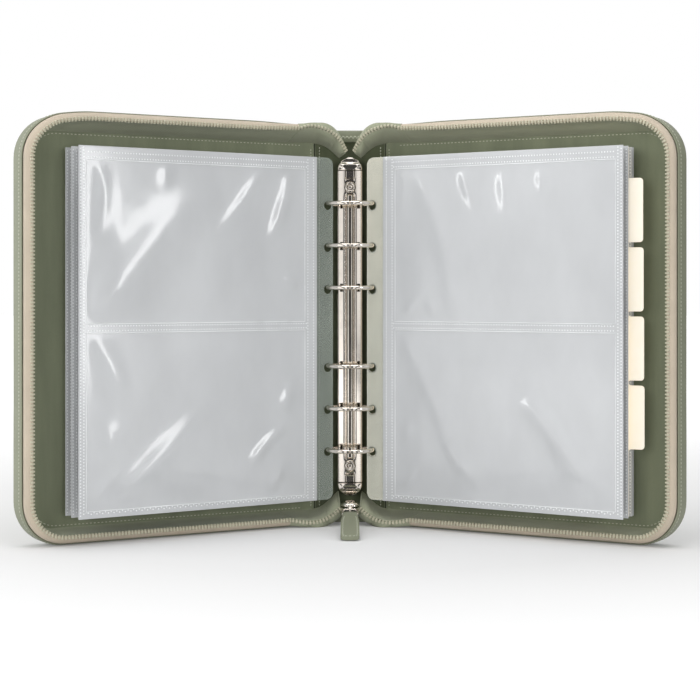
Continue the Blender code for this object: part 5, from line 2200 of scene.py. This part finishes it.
BEND_START = 0.0022
BEND_END = 0.0062
BEND_STEP = 0.0008
FRONT_FILM = {"step": 0.0015, "puff": 0.0017}
BACK_FILM = {"puff": 0.0002}
LEFT_LEAVES = ((35.3, 4.0), (32.0, 0.0), (28.8, -4.0))
RIGHT_LEAVES = ((34.6, 10.0), (32.3, 6.5), (30.0, -5.4), (29.0, -9.0))
DIVIDERS = ((31.6, 4.0), (31.3, 1.8), (31.0, -0.4), (30.7, -2.6))
LEFT_CREASES = tuple(Crease.tenths(*sizes) for sizes in (
    (1655, 1290, 1323, 1600, 870, 2055, 90, 155), (1591, 2189, 1541, 1999, 1578, 1767, 30, 42),
    (477, 2153, 597, 2005, 757, 1824, 26, 85), (276, 2184, 320, 1990, 420, 1758, 32, 107),
    (1108, 2198, 1134, 2128, 1154, 2058, 26, 34), (320, 1543, 276, 1507, 233, 1458, 26, 80),
    (1578, 1181, 1522, 1050, 1433, 866, 45, 58), (1578, 668, 1509, 597, 1534, 497, 40, 48),
    (1471, 414, 1522, 327, 1578, 240, 22, 35), (1445, 242, 1206, 456, 886, 743, 45, 90),
    (562, 409, 456, 523, 305, 636, 24, 90), (276, 877, 298, 805, 327, 722, 30, 90),
    (406, 244, 377, 314, 334, 384, 24, 67)))
RIGHT_CREASES = tuple(Crease.tenths(*sizes) for sizes in (
    (232, 2198, 218, 2065, 189, 1908, 28, 51), (347, 2109, 531, 1720, 593, 1315, 55, 136),
    (649, 2187, 683, 2062, 745, 1930, 28, 80), (921, 2147, 941, 2030, 955, 1889, 34, 88),
    (1172, 2149, 1179, 2080, 1185, 2010, 24, 75), (247, 1301, 290, 1349, 347, 1398, 24, 59),
    (461, 1278, 439, 1338, 404, 1398, 26, 59), (247, 1167, 276, 1083, 319, 1012, 30, 61),
    (290, 1047, 432, 834, 545, 564, 40, 92), (545, 564, 628, 425, 752, 302, 34, 88),
    (225, 634, 261, 599, 232, 537, 26, 48), (1061, 820, 1244, 642, 1449, 311, 50, 187),
    (232, 258, 276, 297, 304, 359, 24, 51)))


def main() -> None:
    """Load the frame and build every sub-assembly on it."""
    logging.basicConfig(level=logging.INFO, format="%(name)s: %(message)s")
    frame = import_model()
    Studio().build()
    finishes = Finishes.make()
    Spine(finishes).build(frame["nodes"])
    for side in Side:
        CoverShell(side, finishes).build()
        ZipHalf(side, finishes).build()
    RingMechanism(finishes).build()
    for side, leaves in ((Side.LEFT, LEFT_LEAVES), (Side.RIGHT, RIGHT_LEAVES)):
        for number, (angle, place) in enumerate(leaves, 1):
            name = "%s_leaf_%d" % (side.word, number)
            creases = LEFT_CREASES if side is Side.LEFT else RIGHT_CREASES
            film = {"creases": creases, **FRONT_FILM} if number == 1 else BACK_FILM
            PocketLeaf(name, LeafPlace(side, angle, place), finishes,
                       flat=side is Side.LEFT, seed=number + 5 * side.value, **film).build()
    for number, (angle, place) in enumerate(DIVIDERS, 1):
        TabDivider(number, LeafPlace(Side.RIGHT, angle, place), finishes).build()
    ZipPull(finishes).build()


if __name__ == "__main__":
    main()
